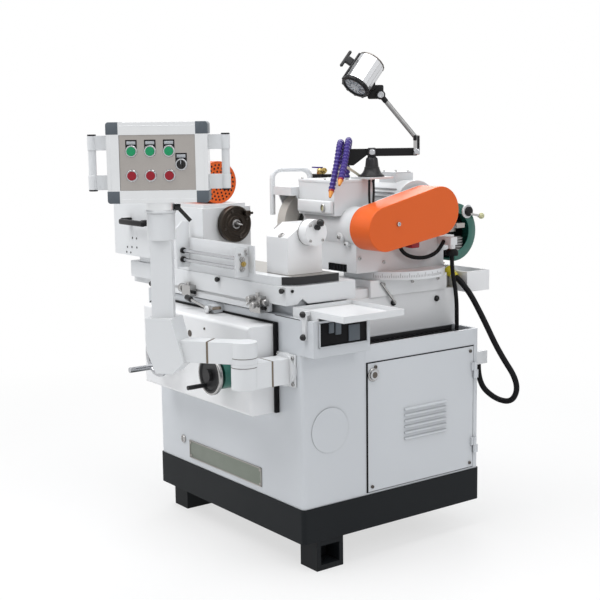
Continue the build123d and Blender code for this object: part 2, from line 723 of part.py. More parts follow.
def bed_casting():
    """Hollow lower body, the overhanging front bed, its table ways, lever bracket and end cover."""
    body = block((-BED_HALF, BED_HALF), (BED_FRONT, BED_REAR), (BED_BASE, BODY_TOP))
    body = fillet(body.edges().filter_by(Axis.Z), BODY_CORNER_RADIUS)
    body -= block((CABINET_LEFT, BED_LENGTH), (CABINET_FRONT, BED_REAR + BED_DEPTH), (BED_BASE, BODY_TOP))
    hollow_top = BODY_TOP - BODY_WALL
    body -= block(
        (-BED_HALF + BODY_WALL, BED_HALF - BODY_WALL),
        (BED_FRONT + BODY_WALL, CABINET_FRONT - BODY_WALL),
        (BED_BASE, hollow_top),
    )
    body -= block(
        (-BED_HALF + BODY_WALL, CABINET_LEFT - BODY_WALL),
        (CABINET_FRONT - BODY_WALL, BED_REAR - BODY_WALL),
        (BED_BASE, hollow_top),
    )
    reach = BED_HALF + UPPER_BED_OVERHANG
    upper = block((-reach, reach), (BED_FRONT, PEDESTAL_FRONT), (BODY_TOP, BED_TOP))
    trough_floor = BODY_TOP + END_TROUGH_FLOOR
    trough_y = (BED_FRONT + END_TROUGH_WALL, PEDESTAL_FRONT - END_TROUGH_WALL)
    for side in (-1, 1):
        ends = sorted((side * (reach - END_TROUGH_LENGTH), side * (reach - END_TROUGH_WALL)))
        upper -= block(ends, trough_y, (trough_floor, BED_TOP))
    way_x = (-TABLE_WAY_LENGTH / 2, TABLE_WAY_LENGTH / 2)
    half_way = TABLE_WAY_WIDTH / 2
    v_y = BED_FRONT + V_WAY_SETBACK
    flat_y = BED_FRONT + FLAT_WAY_SETBACK
    v_way = slab_x(
        [
            (v_y - half_way, BED_TOP),
            (v_y + half_way, BED_TOP),
            (v_y + half_way, WAY_TOP),
            (v_y, WAY_TOP + V_WAY_RISE),
            (v_y - half_way, WAY_TOP),
        ],
        way_x,
    )
    flat_way = block(way_x, (flat_y - half_way, flat_y + half_way), (BED_TOP, WAY_TOP))
    lever_z = BED_TOP - LEVER_DROP
    bracket = block(
        (LEVER_X - LEVER_BRACKET_WIDTH / 2, LEVER_X + LEVER_BRACKET_WIDTH / 2),
        (BED_FRONT - LEVER_BRACKET_DEPTH, BED_FRONT),
        (lever_z - LEVER_BRACKET_HEIGHT / 2, lever_z + LEVER_BRACKET_HEIGHT / 2),
    )
    bracket -= bar_y(
        LEVER_X,
        (BED_FRONT - LEVER_BRACKET_DEPTH, BED_FRONT - LEVER_BRACKET_DEPTH / 2),
        lever_z,
        LEVER_PIN_RADIUS + RUNNING_CLEARANCE,
    )
    side_cover = bar_x(
        (BED_HALF, BED_HALF + SIDE_COVER_THICKNESS),
        BED_FRONT + SIDE_COVER_SETBACK,
        BED_BASE + SIDE_COVER_RISE,
        SIDE_COVER_RADIUS,
    )
    return body + upper + v_way + flat_way + bracket + side_cover


def electrical_cabinet():
    """Right rear cabinet, open at its door, with the drip trough in its roof."""
    outer = block((CABINET_LEFT, BED_HALF), (CABINET_FRONT, BED_REAR), (BED_BASE, BODY_TOP))
    rear_edge = outer.edges().filter_by(Axis.Z).group_by(Axis.X)[-1].sort_by(Axis.Y)[-1]
    outer = fillet(rear_edge, BODY_CORNER_RADIUS)
    inner = block(
        (CABINET_LEFT + CABINET_WALL, BED_HALF),
        (DOOR_FRONT - DOOR_GAP, DOOR_REAR + DOOR_GAP),
        (DOOR_BOTTOM - DOOR_GAP, DOOR_TOP + DOOR_GAP),
    )
    trough = block(
        (BED_HALF - TROUGH_RIM - TROUGH_WIDTH, BED_HALF - TROUGH_RIM),
        (CABINET_FRONT + TROUGH_RIM, BED_REAR - TROUGH_RIM),
        (BODY_TOP - TROUGH_DEPTH, BODY_TOP),
    )
    cabinet = outer - inner - trough
    for rise in HINGE_RISES:
        split = DOOR_BOTTOM + rise
        cabinet += bar_z(HINGE_X, HINGE_Y, (split - HINGE_KNUCKLE_LENGTH, split), HINGE_BARREL_RADIUS)
        cabinet += bar_z(HINGE_X, HINGE_Y, (split, split + HINGE_KNUCKLE_LENGTH), HINGE_PIN_RADIUS)
        cabinet += block(
            (BED_HALF, HINGE_X),
            (HINGE_Y, HINGE_Y + HINGE_LEAF_WIDTH),
            (split - HINGE_KNUCKLE_LENGTH, split),
        )
    return cabinet


def cabinet_door():
    """Louvred door with its hinge knuckles."""
    door = block((DOOR_FACE - DOOR_THICKNESS, DOOR_FACE), (DOOR_FRONT, DOOR_REAR), (DOOR_BOTTOM, DOOR_TOP))
    middle = BED_FRONT + LOUVRE_SETBACK
    for row in range(LOUVRE_COUNT):
        z = DOOR_BOTTOM + LOUVRE_RISE + row * LOUVRE_PITCH
        hood = bar_y(DOOR_FACE, (middle - LOUVRE_LENGTH / 2, middle + LOUVRE_LENGTH / 2), z, LOUVRE_RADIUS)
        hood &= block((DOOR_FACE, BED_LENGTH), (DOOR_FRONT, DOOR_REAR), (z, z + LOUVRE_RADIUS))
        door += hood
    lock_y = DOOR_FRONT + LOCK_INSET
    lock_z = DOOR_TOP - LOCK_DROP
    lock_hole = LOCK_SHAFT_RADIUS + RUNNING_CLEARANCE
    door -= bar_x((DOOR_FACE - DOOR_THICKNESS, DOOR_FACE), lock_y, lock_z, lock_hole)
    for rise in HINGE_RISES:
        low = DOOR_BOTTOM + rise + FACE_CLEARANCE
        high = low + HINGE_KNUCKLE_LENGTH
        knuckle = bar_z(HINGE_X, HINGE_Y, (low, high), HINGE_BARREL_RADIUS)
        knuckle += block((DOOR_FACE, HINGE_X), (HINGE_Y - HINGE_LEAF_WIDTH, HINGE_Y), (low, high))
        knuckle -= bar_z(HINGE_X, HINGE_Y, (low, high), HINGE_PIN_RADIUS + RUNNING_CLEARANCE)
        door += knuckle
    return door


def door_lock():
    """Turn lock: a ring knob outside the door and a tail behind it."""
    y = DOOR_FRONT + LOCK_INSET
    z = DOOR_TOP - LOCK_DROP
    knob_x = (DOOR_FACE + FACE_CLEARANCE, DOOR_FACE + FACE_CLEARANCE + LOCK_HEIGHT)
    inner = DOOR_FACE - DOOR_THICKNESS - FACE_CLEARANCE
    knob = bar_x(knob_x, y, z, LOCK_RADIUS)
    shaft = bar_x((inner - LOCK_TAIL_THICKNESS, knob_x[0]), y, z, LOCK_SHAFT_RADIUS)
    tail = block(
        (inner - LOCK_TAIL_THICKNESS, inner),
        (y - LOCK_SHAFT_RADIUS, y + LOCK_SHAFT_RADIUS),
        (z - LOCK_TAIL_LENGTH, z),
    )
    return knob + shaft + tail


def front_apron():
    """Hollow apron box on the front of the bed, bored for the two handwheel shafts."""
    z = (APRON_TOP - APRON_HEIGHT, APRON_TOP)
    outer = block((APRON_LEFT, APRON_RIGHT), (APRON_FRONT, BED_FRONT), z)
    outer = fillet(outer.faces().sort_by(Axis.Y)[0].edges(), APRON_CORNER_RADIUS)
    inner = block(
        (APRON_LEFT + APRON_WALL, APRON_RIGHT - APRON_WALL),
        (APRON_FRONT + APRON_WALL, BED_FRONT),
        (z[0] + APRON_WALL, z[1] - APRON_WALL),
    )
    apron = outer - inner
    for x, wheel_z in ((TABLE_WHEEL_X, TABLE_WHEEL_Z), (CROSS_WHEEL_X, CROSS_WHEEL_Z)):
        bore = bar_y(
            x, (APRON_FRONT, BED_FRONT), wheel_z, WHEEL_SHAFT_RADIUS + RUNNING_CLEARANCE
        )
        apron -= bore
    return apron


def around(x, z, angle, radius):
    """Point (x, z) at an angle and radius round a centre, seen from the front."""
    return x + radius * cos(radians(angle)), z + radius * sin(radians(angle))


def table_handwheel():
    """Spoked rim wheel with a turned grip and its shaft."""
    x = TABLE_WHEEL_X
    z = TABLE_WHEEL_Z
    y = APRON_FRONT - TABLE_WHEEL_STANDOFF
    middle_radius = TABLE_WHEEL_RADIUS - WHEEL_RIM_RADIUS
    rim_y = (y - WHEEL_RIM_RADIUS, y + WHEEL_RIM_RADIUS)
    rim = bar_y(x, rim_y, z, TABLE_WHEEL_RADIUS)
    rim -= bar_y(x, rim_y, z, TABLE_WHEEL_RADIUS - 2 * WHEEL_RIM_RADIUS)
    rim = fillet(rim.edges().filter_by(GeomType.CIRCLE), WHEEL_RIM_ROUNDING)
    wheel = bar_y(x, (y - WHEEL_HUB_LENGTH / 2, APRON_FRONT - FACE_CLEARANCE), z, WHEEL_HUB_RADIUS)
    for spoke in range(WHEEL_SPOKE_COUNT):
        end = around(x, z, TABLE_GRIP_ANGLE + spoke * 360 / WHEEL_SPOKE_COUNT, middle_radius)
        wheel += bar_between((x, y + WHEEL_SPOKE_DISH, z), (end[0], y, end[1]), WHEEL_SPOKE_RADIUS)
    grip_x, grip_z = around(x, z, TABLE_GRIP_ANGLE, middle_radius)
    wheel += bar_y(grip_x, (y - TABLE_GRIP_LENGTH, y + WHEEL_RIM_RADIUS / 2), grip_z, TABLE_GRIP_RADIUS)
    shaft = bar_y(x, (y, APRON_FRONT + APRON_WALL + WHEEL_HUB_LENGTH), z, WHEEL_SHAFT_RADIUS)
    return wheel + shaft + rim


def cross_feed_gearbox():
    """Green dial housing behind the cross-feed handwheel."""
    z = CROSS_WHEEL_Z
    housing = bar_y(CROSS_WHEEL_X, (APRON_FRONT - FEED_BOX_LENGTH, APRON_FRONT), z, FEED_BOX_RADIUS)
    return housing - bar_y(
        CROSS_WHEEL_X,
        (APRON_FRONT - FEED_BOX_LENGTH, APRON_FRONT),
        z,
        WHEEL_SHAFT_RADIUS + RUNNING_CLEARANCE,
    )


def cross_feed_handwheel():
    """Dished wheel with a thick rim, a turned grip and its shaft."""
    x = CROSS_WHEEL_X
    z = CROSS_WHEEL_Z
    y = APRON_FRONT - CROSS_WHEEL_STANDOFF
    middle_radius = CROSS_WHEEL_RADIUS - WHEEL_RIM_RADIUS
    rim = Pos(x, y, z) * Rot(90, 0, 0) * Torus(middle_radius, WHEEL_RIM_RADIUS)
    dish = bar_y(x, (y - CROSS_DISH_THICKNESS / 2, y + CROSS_DISH_THICKNESS / 2), z, middle_radius)
    hub_end = APRON_FRONT - FEED_BOX_LENGTH - FACE_CLEARANCE
    hub = bar_y(x, (y - WHEEL_HUB_LENGTH / 2, hub_end), z, WHEEL_HUB_RADIUS)
    grip_x, grip_z = around(x, z, CROSS_GRIP_ANGLE, middle_radius - WHEEL_RIM_RADIUS)
    grip = bar_y(grip_x, (y - CROSS_GRIP_LENGTH, y), grip_z, CROSS_GRIP_RADIUS)
    shaft = bar_y(x, (y, APRON_FRONT + APRON_WALL + WHEEL_HUB_LENGTH), z, WHEEL_SHAFT_RADIUS)
    return rim + dish + hub + grip + shaft


def reversing_lever():
    """Two-armed lever on a pin in the bed's front bracket."""
    z = BED_TOP - LEVER_DROP
    front = BED_FRONT - LEVER_BRACKET_DEPTH - FACE_CLEARANCE
    y = front - LEVER_HUB_LENGTH / 2
    hub = bar_y(LEVER_X, (front - LEVER_HUB_LENGTH, front), z, LEVER_HUB_RADIUS)
    pin = bar_y(LEVER_X, (front, front + LEVER_BRACKET_DEPTH / 2), z, LEVER_PIN_RADIUS)
    arm_end = around(LEVER_X, z, LEVER_ARM_ANGLE, LEVER_ARM_LENGTH)
    knob_end = around(LEVER_X, z, LEVER_ARM_ANGLE, LEVER_ARM_LENGTH + LEVER_KNOB_LENGTH)
    tail_end = around(LEVER_X, z, LEVER_TAIL_ANGLE, LEVER_TAIL_LENGTH)
    centre = (LEVER_X, y, z)
    arm = bar_between(centre, (arm_end[0], y, arm_end[1]), LEVER_ARM_RADIUS)
    knob = bar_between((arm_end[0], y, arm_end[1]), (knob_end[0], y, knob_end[1]), LEVER_KNOB_RADIUS)
    tail = bar_between(centre, (tail_end[0], y, tail_end[1]), LEVER_ARM_RADIUS)
    return hub + pin + arm + knob + tail


def splash_trays():
    """Shallow drip tray at each end of the bed, on runners, with a flat stay in front."""
    trays = []
    for side in (-1, 1):
        start = side * TRAY_START
        end = side * (TRAY_START + TRAY_LENGTH)
        x = sorted((start, end))
        y = (BED_FRONT + TRAY_SETBACK, BED_FRONT + TRAY_SETBACK + TRAY_DEPTH)
        floor = TRAY_TOP - TRAY_RIM_HEIGHT
        tray = block(x, y, (floor, TRAY_TOP))
        tray -= block(
            (x[0] + TRAY_RIM, x[1] - TRAY_RIM),
            (y[0] + TRAY_RIM, y[1] - TRAY_RIM),
            (floor + TRAY_FLOOR, TRAY_TOP),
        )
        runner_x = sorted((start, side * (BED_HALF + UPPER_BED_OVERHANG)))
        for offset in (0, TRAY_RUNNER_SPACING):
            tray += block(runner_x, (y[0] + offset, y[0] + offset + TRAY_RUNNER_WIDTH), (BED_TOP, floor))
        middle = side * STAY_X
        stay_x = (middle - STAY_WIDTH / 2, middle + STAY_WIDTH / 2)
        stay_top = TRAY_TOP - STAY_TOP_DROP
        tray += block(stay_x, (BED_FRONT - STAY_THICKNESS, BED_FRONT), (stay_top - STAY_LENGTH, stay_top))
        tray += block(stay_x, (BED_FRONT, y[0]), (stay_top - STAY_BOSS_HEIGHT, stay_top))
        for z in (stay_top - STAY_BALL_RADIUS, stay_top - STAY_LENGTH + STAY_BALL_RADIUS):
            ball_y = BED_FRONT - STAY_THICKNESS - STAY_BALL_RADIUS / 2
            tray += Pos(middle, ball_y, z) * Sphere(STAY_BALL_RADIUS)
        trays.append(tray)
    return Compound(children=trays)


def lower_table():
    """Sliding table with a V groove below, a dog slot in its front skirt and the swivel bore."""
    y = (TABLE_FRONT, TABLE_FRONT + TABLE_DEPTH)
    body = block((TABLE_LEFT, TABLE_RIGHT), y, (TABLE_BOTTOM, TABLE_TOP))
    skirt_x = (TABLE_LEFT + SKIRT_LEFT_INSET, TABLE_RIGHT - SKIRT_RIGHT_INSET)
    skirt_bottom = TABLE_BOTTOM - SKIRT_DROP
    body += block(skirt_x, (TABLE_FRONT, TABLE_FRONT + SKIRT_THICKNESS), (skirt_bottom, TABLE_BOTTOM))
    slot_z = skirt_bottom + DOG_SLOT_RISE
    body -= block(
        skirt_x,
        (TABLE_FRONT, TABLE_FRONT + DOG_SLOT_DEPTH),
        (slot_z - DOG_SLOT_WIDTH / 2, slot_z + DOG_SLOT_WIDTH / 2),
    )
    v_y = BED_FRONT + V_WAY_SETBACK
    half_way = TABLE_WAY_WIDTH / 2
    body -= slab_x(
        [(v_y - half_way, TABLE_BOTTOM), (v_y + half_way, TABLE_BOTTOM), (v_y, TABLE_BOTTOM + V_WAY_RISE)],
        (TABLE_LEFT, TABLE_RIGHT),
    )
    body -= bar_z(
        TABLE_OFFSET,
        SWIVEL_FRONT + SWIVEL_DEPTH / 2,
        (TABLE_TOP - SWIVEL_PIN_LENGTH - FACE_CLEARANCE, TABLE_TOP),
        SWIVEL_PIN_RADIUS + RUNNING_CLEARANCE,
    )
    return body


def swivel_table():
    """Upper table with round front corners, on a pin in the lower table."""
    body = block(
        (TABLE_LEFT + SWIVEL_END_INSET, TABLE_RIGHT - SWIVEL_END_INSET),
        (SWIVEL_FRONT, SWIVEL_FRONT + SWIVEL_DEPTH),
        (SWIVEL_BOTTOM, SWIVEL_TOP),
    )
    front_edges = body.edges().filter_by(Axis.Z).group_by(Axis.Y)[0]
    body = fillet(front_edges, SWIVEL_CORNER_RADIUS)
    pin = bar_z(
        TABLE_OFFSET,
        SWIVEL_FRONT + SWIVEL_DEPTH / 2,
        (TABLE_TOP - SWIVEL_PIN_LENGTH, SWIVEL_BOTTOM),
        SWIVEL_PIN_RADIUS,
    )
    return body + pin


def stop_dog(x, length, height):
    """Block with a tongue in the table's front slot and a clamp screw."""
    back = TABLE_FRONT - DOG_CLEARANCE
    z = TABLE_BOTTOM - SKIRT_DROP + DOG_SLOT_RISE
    ends = (x - length / 2, x + length / 2)
    body = block(ends, (back - DOG_DEPTH, back), (z - height / 2, z + height / 2))
    tongue_half = DOG_SLOT_WIDTH / 2 - DOG_CLEARANCE
    tongue = block(
        ends, (back, TABLE_FRONT + DOG_SLOT_DEPTH - DOG_CLEARANCE), (z - tongue_half, z + tongue_half)
    )
    screw_z = z + height / 2
    screw = bar_z(x, back - DOG_DEPTH / 2, (screw_z, screw_z + DOG_SCREW_LENGTH), DOG_SCREW_RADIUS)
    return body + tongue + screw


def splash_wall():
    """Low front wall on the swivel table with its two rod brackets."""
    wall_y = (SWIVEL_FRONT, SWIVEL_FRONT + WALL_THICKNESS)
    wall = block((WALL_LEFT, WALL_RIGHT), wall_y, (SWIVEL_TOP, SWIVEL_TOP + WALL_HEIGHT))
    foot_z = SWIVEL_TOP - BRACKET_DROP
    reach = SWIVEL_FRONT - BRACKET_REACH
    left_top = SWIVEL_TOP + LEFT_BRACKET_HEIGHT
    left = slab_x(
        [
            (reach, foot_z),
            (SWIVEL_FRONT, foot_z),
            (SWIVEL_FRONT, left_top),
            (SWIVEL_FRONT - BRACKET_REACH / 2, left_top),
            (reach, left_top - BRACKET_REACH / 2),
        ],
        (WALL_LEFT, WALL_LEFT + BRACKET_THICKNESS),
    )
    right = block(
        (RIGHT_BRACKET_X, RIGHT_BRACKET_X + BRACKET_THICKNESS),
        (reach, SWIVEL_FRONT),
        (foot_z, SWIVEL_TOP + RIGHT_BRACKET_HEIGHT),
    )
    return wall + left + right


def guide_rods():
    """Two bright rods between the brackets, each with a collar at the right."""
    rods = []
    y = SWIVEL_FRONT - GUIDE_ROD_REACH
    left = WALL_LEFT + BRACKET_THICKNESS
    for rise in GUIDE_ROD_RISES:
        z = SWIVEL_TOP + rise
        rod = bar_x((left, RIGHT_BRACKET_X), y, z, GUIDE_ROD_RADIUS)
        rod += bar_x((RIGHT_BRACKET_X - ROD_COLLAR_LENGTH, RIGHT_BRACKET_X), y, z, ROD_COLLAR_RADIUS)
        rods.append(rod)
    return Compound(children=rods)


def workhead_housing():
    """Workhead casting with the spindle bore and the motor seat on top."""
    y = (AXIS_Y - WORKHEAD_FRONT_REACH, AXIS_Y + WORKHEAD_REAR_REACH)
    top = SWIVEL_TOP + WORKHEAD_HEIGHT
    body = block((WORKHEAD_LEFT, WORKHEAD_RIGHT), y, (SWIVEL_TOP, top))
    seat = block(
        (WORKHEAD_LEFT + MOTOR_SEAT_MARGIN, WORKHEAD_RIGHT - MOTOR_SEAT_MARGIN),
        (y[0] + MOTOR_SEAT_MARGIN, y[1] - MOTOR_SEAT_MARGIN),
        (top, top + MOTOR_SEAT_THICKNESS),
    )
    bore = bar_x((WORKHEAD_LEFT, WORKHEAD_RIGHT), AXIS_Y, AXIS_Z, WORK_SPINDLE_RADIUS + RUNNING_CLEARANCE)
    return body + seat - bore


def workhead_cover():
    """Hollow belt cover at the left of the workhead."""
    x = (WORKHEAD_LEFT - COVER_LENGTH, WORKHEAD_LEFT)
    y = (AXIS_Y - COVER_FRONT_REACH, AXIS_Y + COVER_REAR_REACH)
    z = (SWIVEL_TOP, SWIVEL_TOP + COVER_HEIGHT)
    cover = block(x, y, z)
    cover -= block(
        (x[0] + COVER_WALL, x[1] - COVER_WALL),
        (y[0] + COVER_WALL, y[1] - COVER_WALL),
        (z[0] + COVER_WALL, z[1] - COVER_WALL),
    )
    hole = bar_x((x[1] - COVER_WALL, x[1]), AXIS_Y, AXIS_Z, WORK_PULLEY_RADIUS + COVER_WALL)
    return cover - hole


def faceplate_faces():
    """Left and right x of the drive faceplate."""
    left = WORKHEAD_RIGHT + FACEPLATE_GAP
    return left, left + FACEPLATE_THICKNESS


def workhead_spindle():
    """Work spindle with its belt pulley at the left and a live centre at the right."""
    left, right = faceplate_faces()
    pulley_right = WORKHEAD_LEFT - WORK_PULLEY_INSET
    pulley_x = (pulley_right - WORK_PULLEY_WIDTH, pulley_right)
    pulley = bar_x(pulley_x, AXIS_Y, AXIS_Z, WORK_PULLEY_RADIUS)
    shaft = bar_x((pulley_x[0], left), AXIS_Y, AXIS_Z, WORK_SPINDLE_RADIUS)
    nose = bar_x((left, right), AXIS_Y, AXIS_Z, WORK_NOSE_RADIUS)
    centre = cone_x((right, right + CENTRE_LENGTH), AXIS_Y, AXIS_Z, CENTRE_RADIUS, 0)
    return pulley + shaft + nose + centre


def drive_faceplate():
    """Slotted faceplate with a drive dog, pressed on the spindle nose."""
    x = faceplate_faces()
    plate = bar_x(x, AXIS_Y, AXIS_Z, FACEPLATE_RADIUS)
    for angle in (0, 90, 180, 270):
        y, z = around(AXIS_Y, AXIS_Z, angle, (FACEPLATE_RADIUS + FACEPLATE_HUB_RADIUS) / 2)
        length = FACEPLATE_RADIUS - FACEPLATE_HUB_RADIUS
        slot = Box(FACEPLATE_THICKNESS, length, FACEPLATE_SLOT_WIDTH)
        plate -= Pos((x[0] + x[1]) / 2, y, z) * Rot(angle, 0, 0) * slot
    y, z = around(AXIS_Y, AXIS_Z, DRIVE_DOG_ANGLE, DRIVE_DOG_RADIUS)
    dog = Box(DRIVE_DOG_LENGTH, DRIVE_DOG_SIZE, DRIVE_DOG_SIZE)
    plate += Pos(x[1] + DRIVE_DOG_LENGTH / 2, y, z) * Rot(DRIVE_DOG_ANGLE, 0, 0) * dog
    return plate - bar_x(x, AXIS_Y, AXIS_Z, WORK_NOSE_RADIUS)


def workhead_motor():
    """Round motor on the workhead, with its fan cover facing right."""
    seat_z = SWIVEL_TOP + WORKHEAD_HEIGHT + MOTOR_SEAT_THICKNESS
    right = WORKHEAD_RIGHT - WORK_MOTOR_INSET
    left = right - WORK_MOTOR_LENGTH
    y = AXIS_Y + (WORKHEAD_REAR_REACH - WORKHEAD_FRONT_REACH) / 2
    z = seat_z + WORK_MOTOR_RADIUS
    body = bar_x((left, right - FAN_COVER_LENGTH), y, z, WORK_MOTOR_RADIUS - FAN_COVER_STEP)
    body += bar_x((right - FAN_COVER_LENGTH, right), y, z, WORK_MOTOR_RADIUS)
    half = WORK_MOTOR_FOOT_WIDTH / 2
    base = block((left + WORK_MOTOR_INSET, right - FAN_COVER_LENGTH), (y - half, y + half), (seat_z, z))
    return body + base


def tail_right():
    """Right x of the tailstock casting."""
    return TAIL_LEFT + TAIL_LENGTH


def tailstock_body():
    """Tailstock casting with a sloped front, the quill bore and the round end cap."""
    front = AXIS_Y - TAIL_FRONT_REACH
    rear = AXIS_Y + TAIL_REAR_REACH
    bottom = SWIVEL_TOP + TAIL_CLEARANCE
    top = AXIS_Z + TAIL_TOP_RISE
    body = slab_x(
        [
            (front, bottom),
            (rear, bottom),
            (rear, top),
            (front + TAIL_SLOPE_DEPTH, top),
            (front, top - TAIL_SLOPE_DROP),
        ],
        (TAIL_LEFT, tail_right()),
    )
    cap_end = tail_right() + TAIL_CAP_LENGTH
    body += bar_x((tail_right(), cap_end), AXIS_Y, AXIS_Z, TAIL_CAP_RADIUS)
    body -= bar_x((TAIL_LEFT, cap_end - TAIL_CAP_WALL), AXIS_Y, AXIS_Z, QUILL_RADIUS + RUNNING_CLEARANCE)
    body -= bar_x(
        (cap_end - TAIL_CAP_WALL, cap_end),
        AXIS_Y,
        AXIS_Z + TAIL_LEVER_RISE,
        TAIL_LEVER_PIN_RADIUS + RUNNING_CLEARANCE,
    )
    return body


def tailstock_quill():
    """Sliding quill with a fixed centre at its left end."""
    left = TAIL_LEFT - QUILL_PROTRUSION
    quill = bar_x((left, tail_right() - QUILL_TAIL_LENGTH), AXIS_Y, AXIS_Z, QUILL_RADIUS)
    return quill + cone_x((left, left - QUILL_POINT_LENGTH), AXIS_Y, AXIS_Z, QUILL_RADIUS, 0)


def tailstock_lever():
    """Ball lever on the tailstock's end cap, for drawing the quill back."""
    cap_end = tail_right() + TAIL_CAP_LENGTH
    z = AXIS_Z + TAIL_LEVER_RISE
    start = cap_end + FACE_CLEARANCE
    hub = bar_x((start, start + TAIL_LEVER_HUB_LENGTH), AXIS_Y, z, TAIL_LEVER_HUB_RADIUS)
    pin = bar_x((cap_end - TAIL_CAP_WALL, start), AXIS_Y, z, TAIL_LEVER_PIN_RADIUS)
    middle = start + TAIL_LEVER_HUB_LENGTH / 2
    tip = (middle + TAIL_LEVER_ARM, AXIS_Y, z + TAIL_LEVER_ARM)
    stem = bar_between((middle, AXIS_Y, z), tip, TAIL_LEVER_PIN_RADIUS)
    return hub + pin + stem + Pos(*tip) * Sphere(TAIL_BALL_RADIUS)


def wheelhead_pedestal():
    """Pedestal behind the table with the cross ways, the tap post and the rear shelf."""
    half = PEDESTAL_WIDTH / 2
    body = block((-half, half), (PEDESTAL_FRONT, PEDESTAL_REAR), (BODY_TOP, PEDESTAL_TOP))
    step_y = PEDESTAL_FRONT + PEDESTAL_STEP_DEPTH
    body -= block((-half, half), (PEDESTAL_FRONT, step_y), (PEDESTAL_TOP - PEDESTAL_STEP_DROP, PEDESTAL_TOP))
    for side in (-1, 1):
        middle = CROSS_WAY_X + side * CROSS_WAY_SPACING / 2
        body += block(
            (middle - CROSS_WAY_WIDTH / 2, middle + CROSS_WAY_WIDTH / 2),
            (step_y, PEDESTAL_REAR - CROSS_WAY_REAR_INSET),
            (PEDESTAL_TOP, PEDESTAL_TOP + CROSS_WAY_HEIGHT),
        )
    post = TAP_POST_WIDTH / 2
    body += block(
        (TAP_POST_X - post, TAP_POST_X + post),
        (TAP_Y - post, TAP_Y + post),
        (PEDESTAL_TOP, PEDESTAL_TOP + TAP_POST_HEIGHT),
    )
    shelf_floor = PEDESTAL_TOP - REAR_SHELF_SUNK
    shelf_top = shelf_floor + REAR_SHELF_HEIGHT
    shelf_rear = PEDESTAL_REAR + REAR_SHELF_DEPTH
    body += block((REAR_SHELF_LEFT, REAR_SHELF_RIGHT), (PEDESTAL_REAR, shelf_rear), (shelf_floor, shelf_top))
    body -= block(
        (REAR_SHELF_LEFT + REAR_SHELF_WALL, REAR_SHELF_RIGHT - REAR_SHELF_WALL),
        (PEDESTAL_REAR + REAR_SHELF_WALL, shelf_rear - REAR_SHELF_WALL),
        (shelf_floor + REAR_SHELF_WALL, shelf_top),
    )
    return body


def cross_slide():
    """Slab on the cross ways, grooved to straddle them, bored for the head pivot."""
    middle = CROSS_WAY_X
    body = block(
        (middle - SLIDE_WIDTH / 2, middle + SLIDE_WIDTH / 2),
        (SLIDE_FRONT, SLIDE_REAR),
        (SLIDE_BOTTOM, SLIDE_TOP),
    )
    for side in (-1, 1):
        x = middle + side * CROSS_WAY_SPACING / 2
        half = CROSS_WAY_WIDTH / 2 + WAY_CLEARANCE
        roof = PEDESTAL_TOP + CROSS_WAY_HEIGHT + WAY_CLEARANCE
        body -= block((x - half, x + half), (SLIDE_FRONT, SLIDE_REAR), (SLIDE_BOTTOM, roof))
    return body - bar_z(
        HEAD_SWIVEL_X,
        HEAD_PIVOT_Y,
        (SLIDE_TOP - HEAD_PIVOT_LENGTH, SLIDE_TOP),
        HEAD_PIVOT_RADIUS + RUNNING_CLEARANCE,
    )


def two_lobes(first, first_radius, second, second_radius):
    """Face round two circles and the tangents between them, in (y, z)."""
    run = (second[0] - first[0], second[1] - first[1])
    length = hypot(*run)
    along = degrees(atan2(run[1], run[0]))
    lean = (first_radius - second_radius) / length
    spread = degrees(atan2((1 - lean**2) ** 0.5, lean))
    corners = [
        around(*first, along + spread, first_radius),
        around(*second, along + spread, second_radius),
        around(*second, along - spread, second_radius),
        around(*first, along - spread, first_radius),
    ]
    lobes = make_face(Polyline(*corners, close=True))
    lobes += Pos(*first) * Circle(first_radius)
    lobes += Pos(*second) * Circle(second_radius)
    return lobes


def raise_x(face, x):
    """Extrude a face drawn in (y, z) between two x values."""
    plane = Plane(origin=(x[0], 0, 0), x_dir=(0, 1, 0), z_dir=(1, 0, 0))
    return extrude(plane * face, x[1] - x[0])


def drive_lobes(front_radius, rear_radius):
    """Face round the wheel spindle and the motor shaft."""
    return two_lobes((HEAD_Y, AXIS_Z), front_radius, (MOTOR_Y, MOTOR_Z), rear_radius)


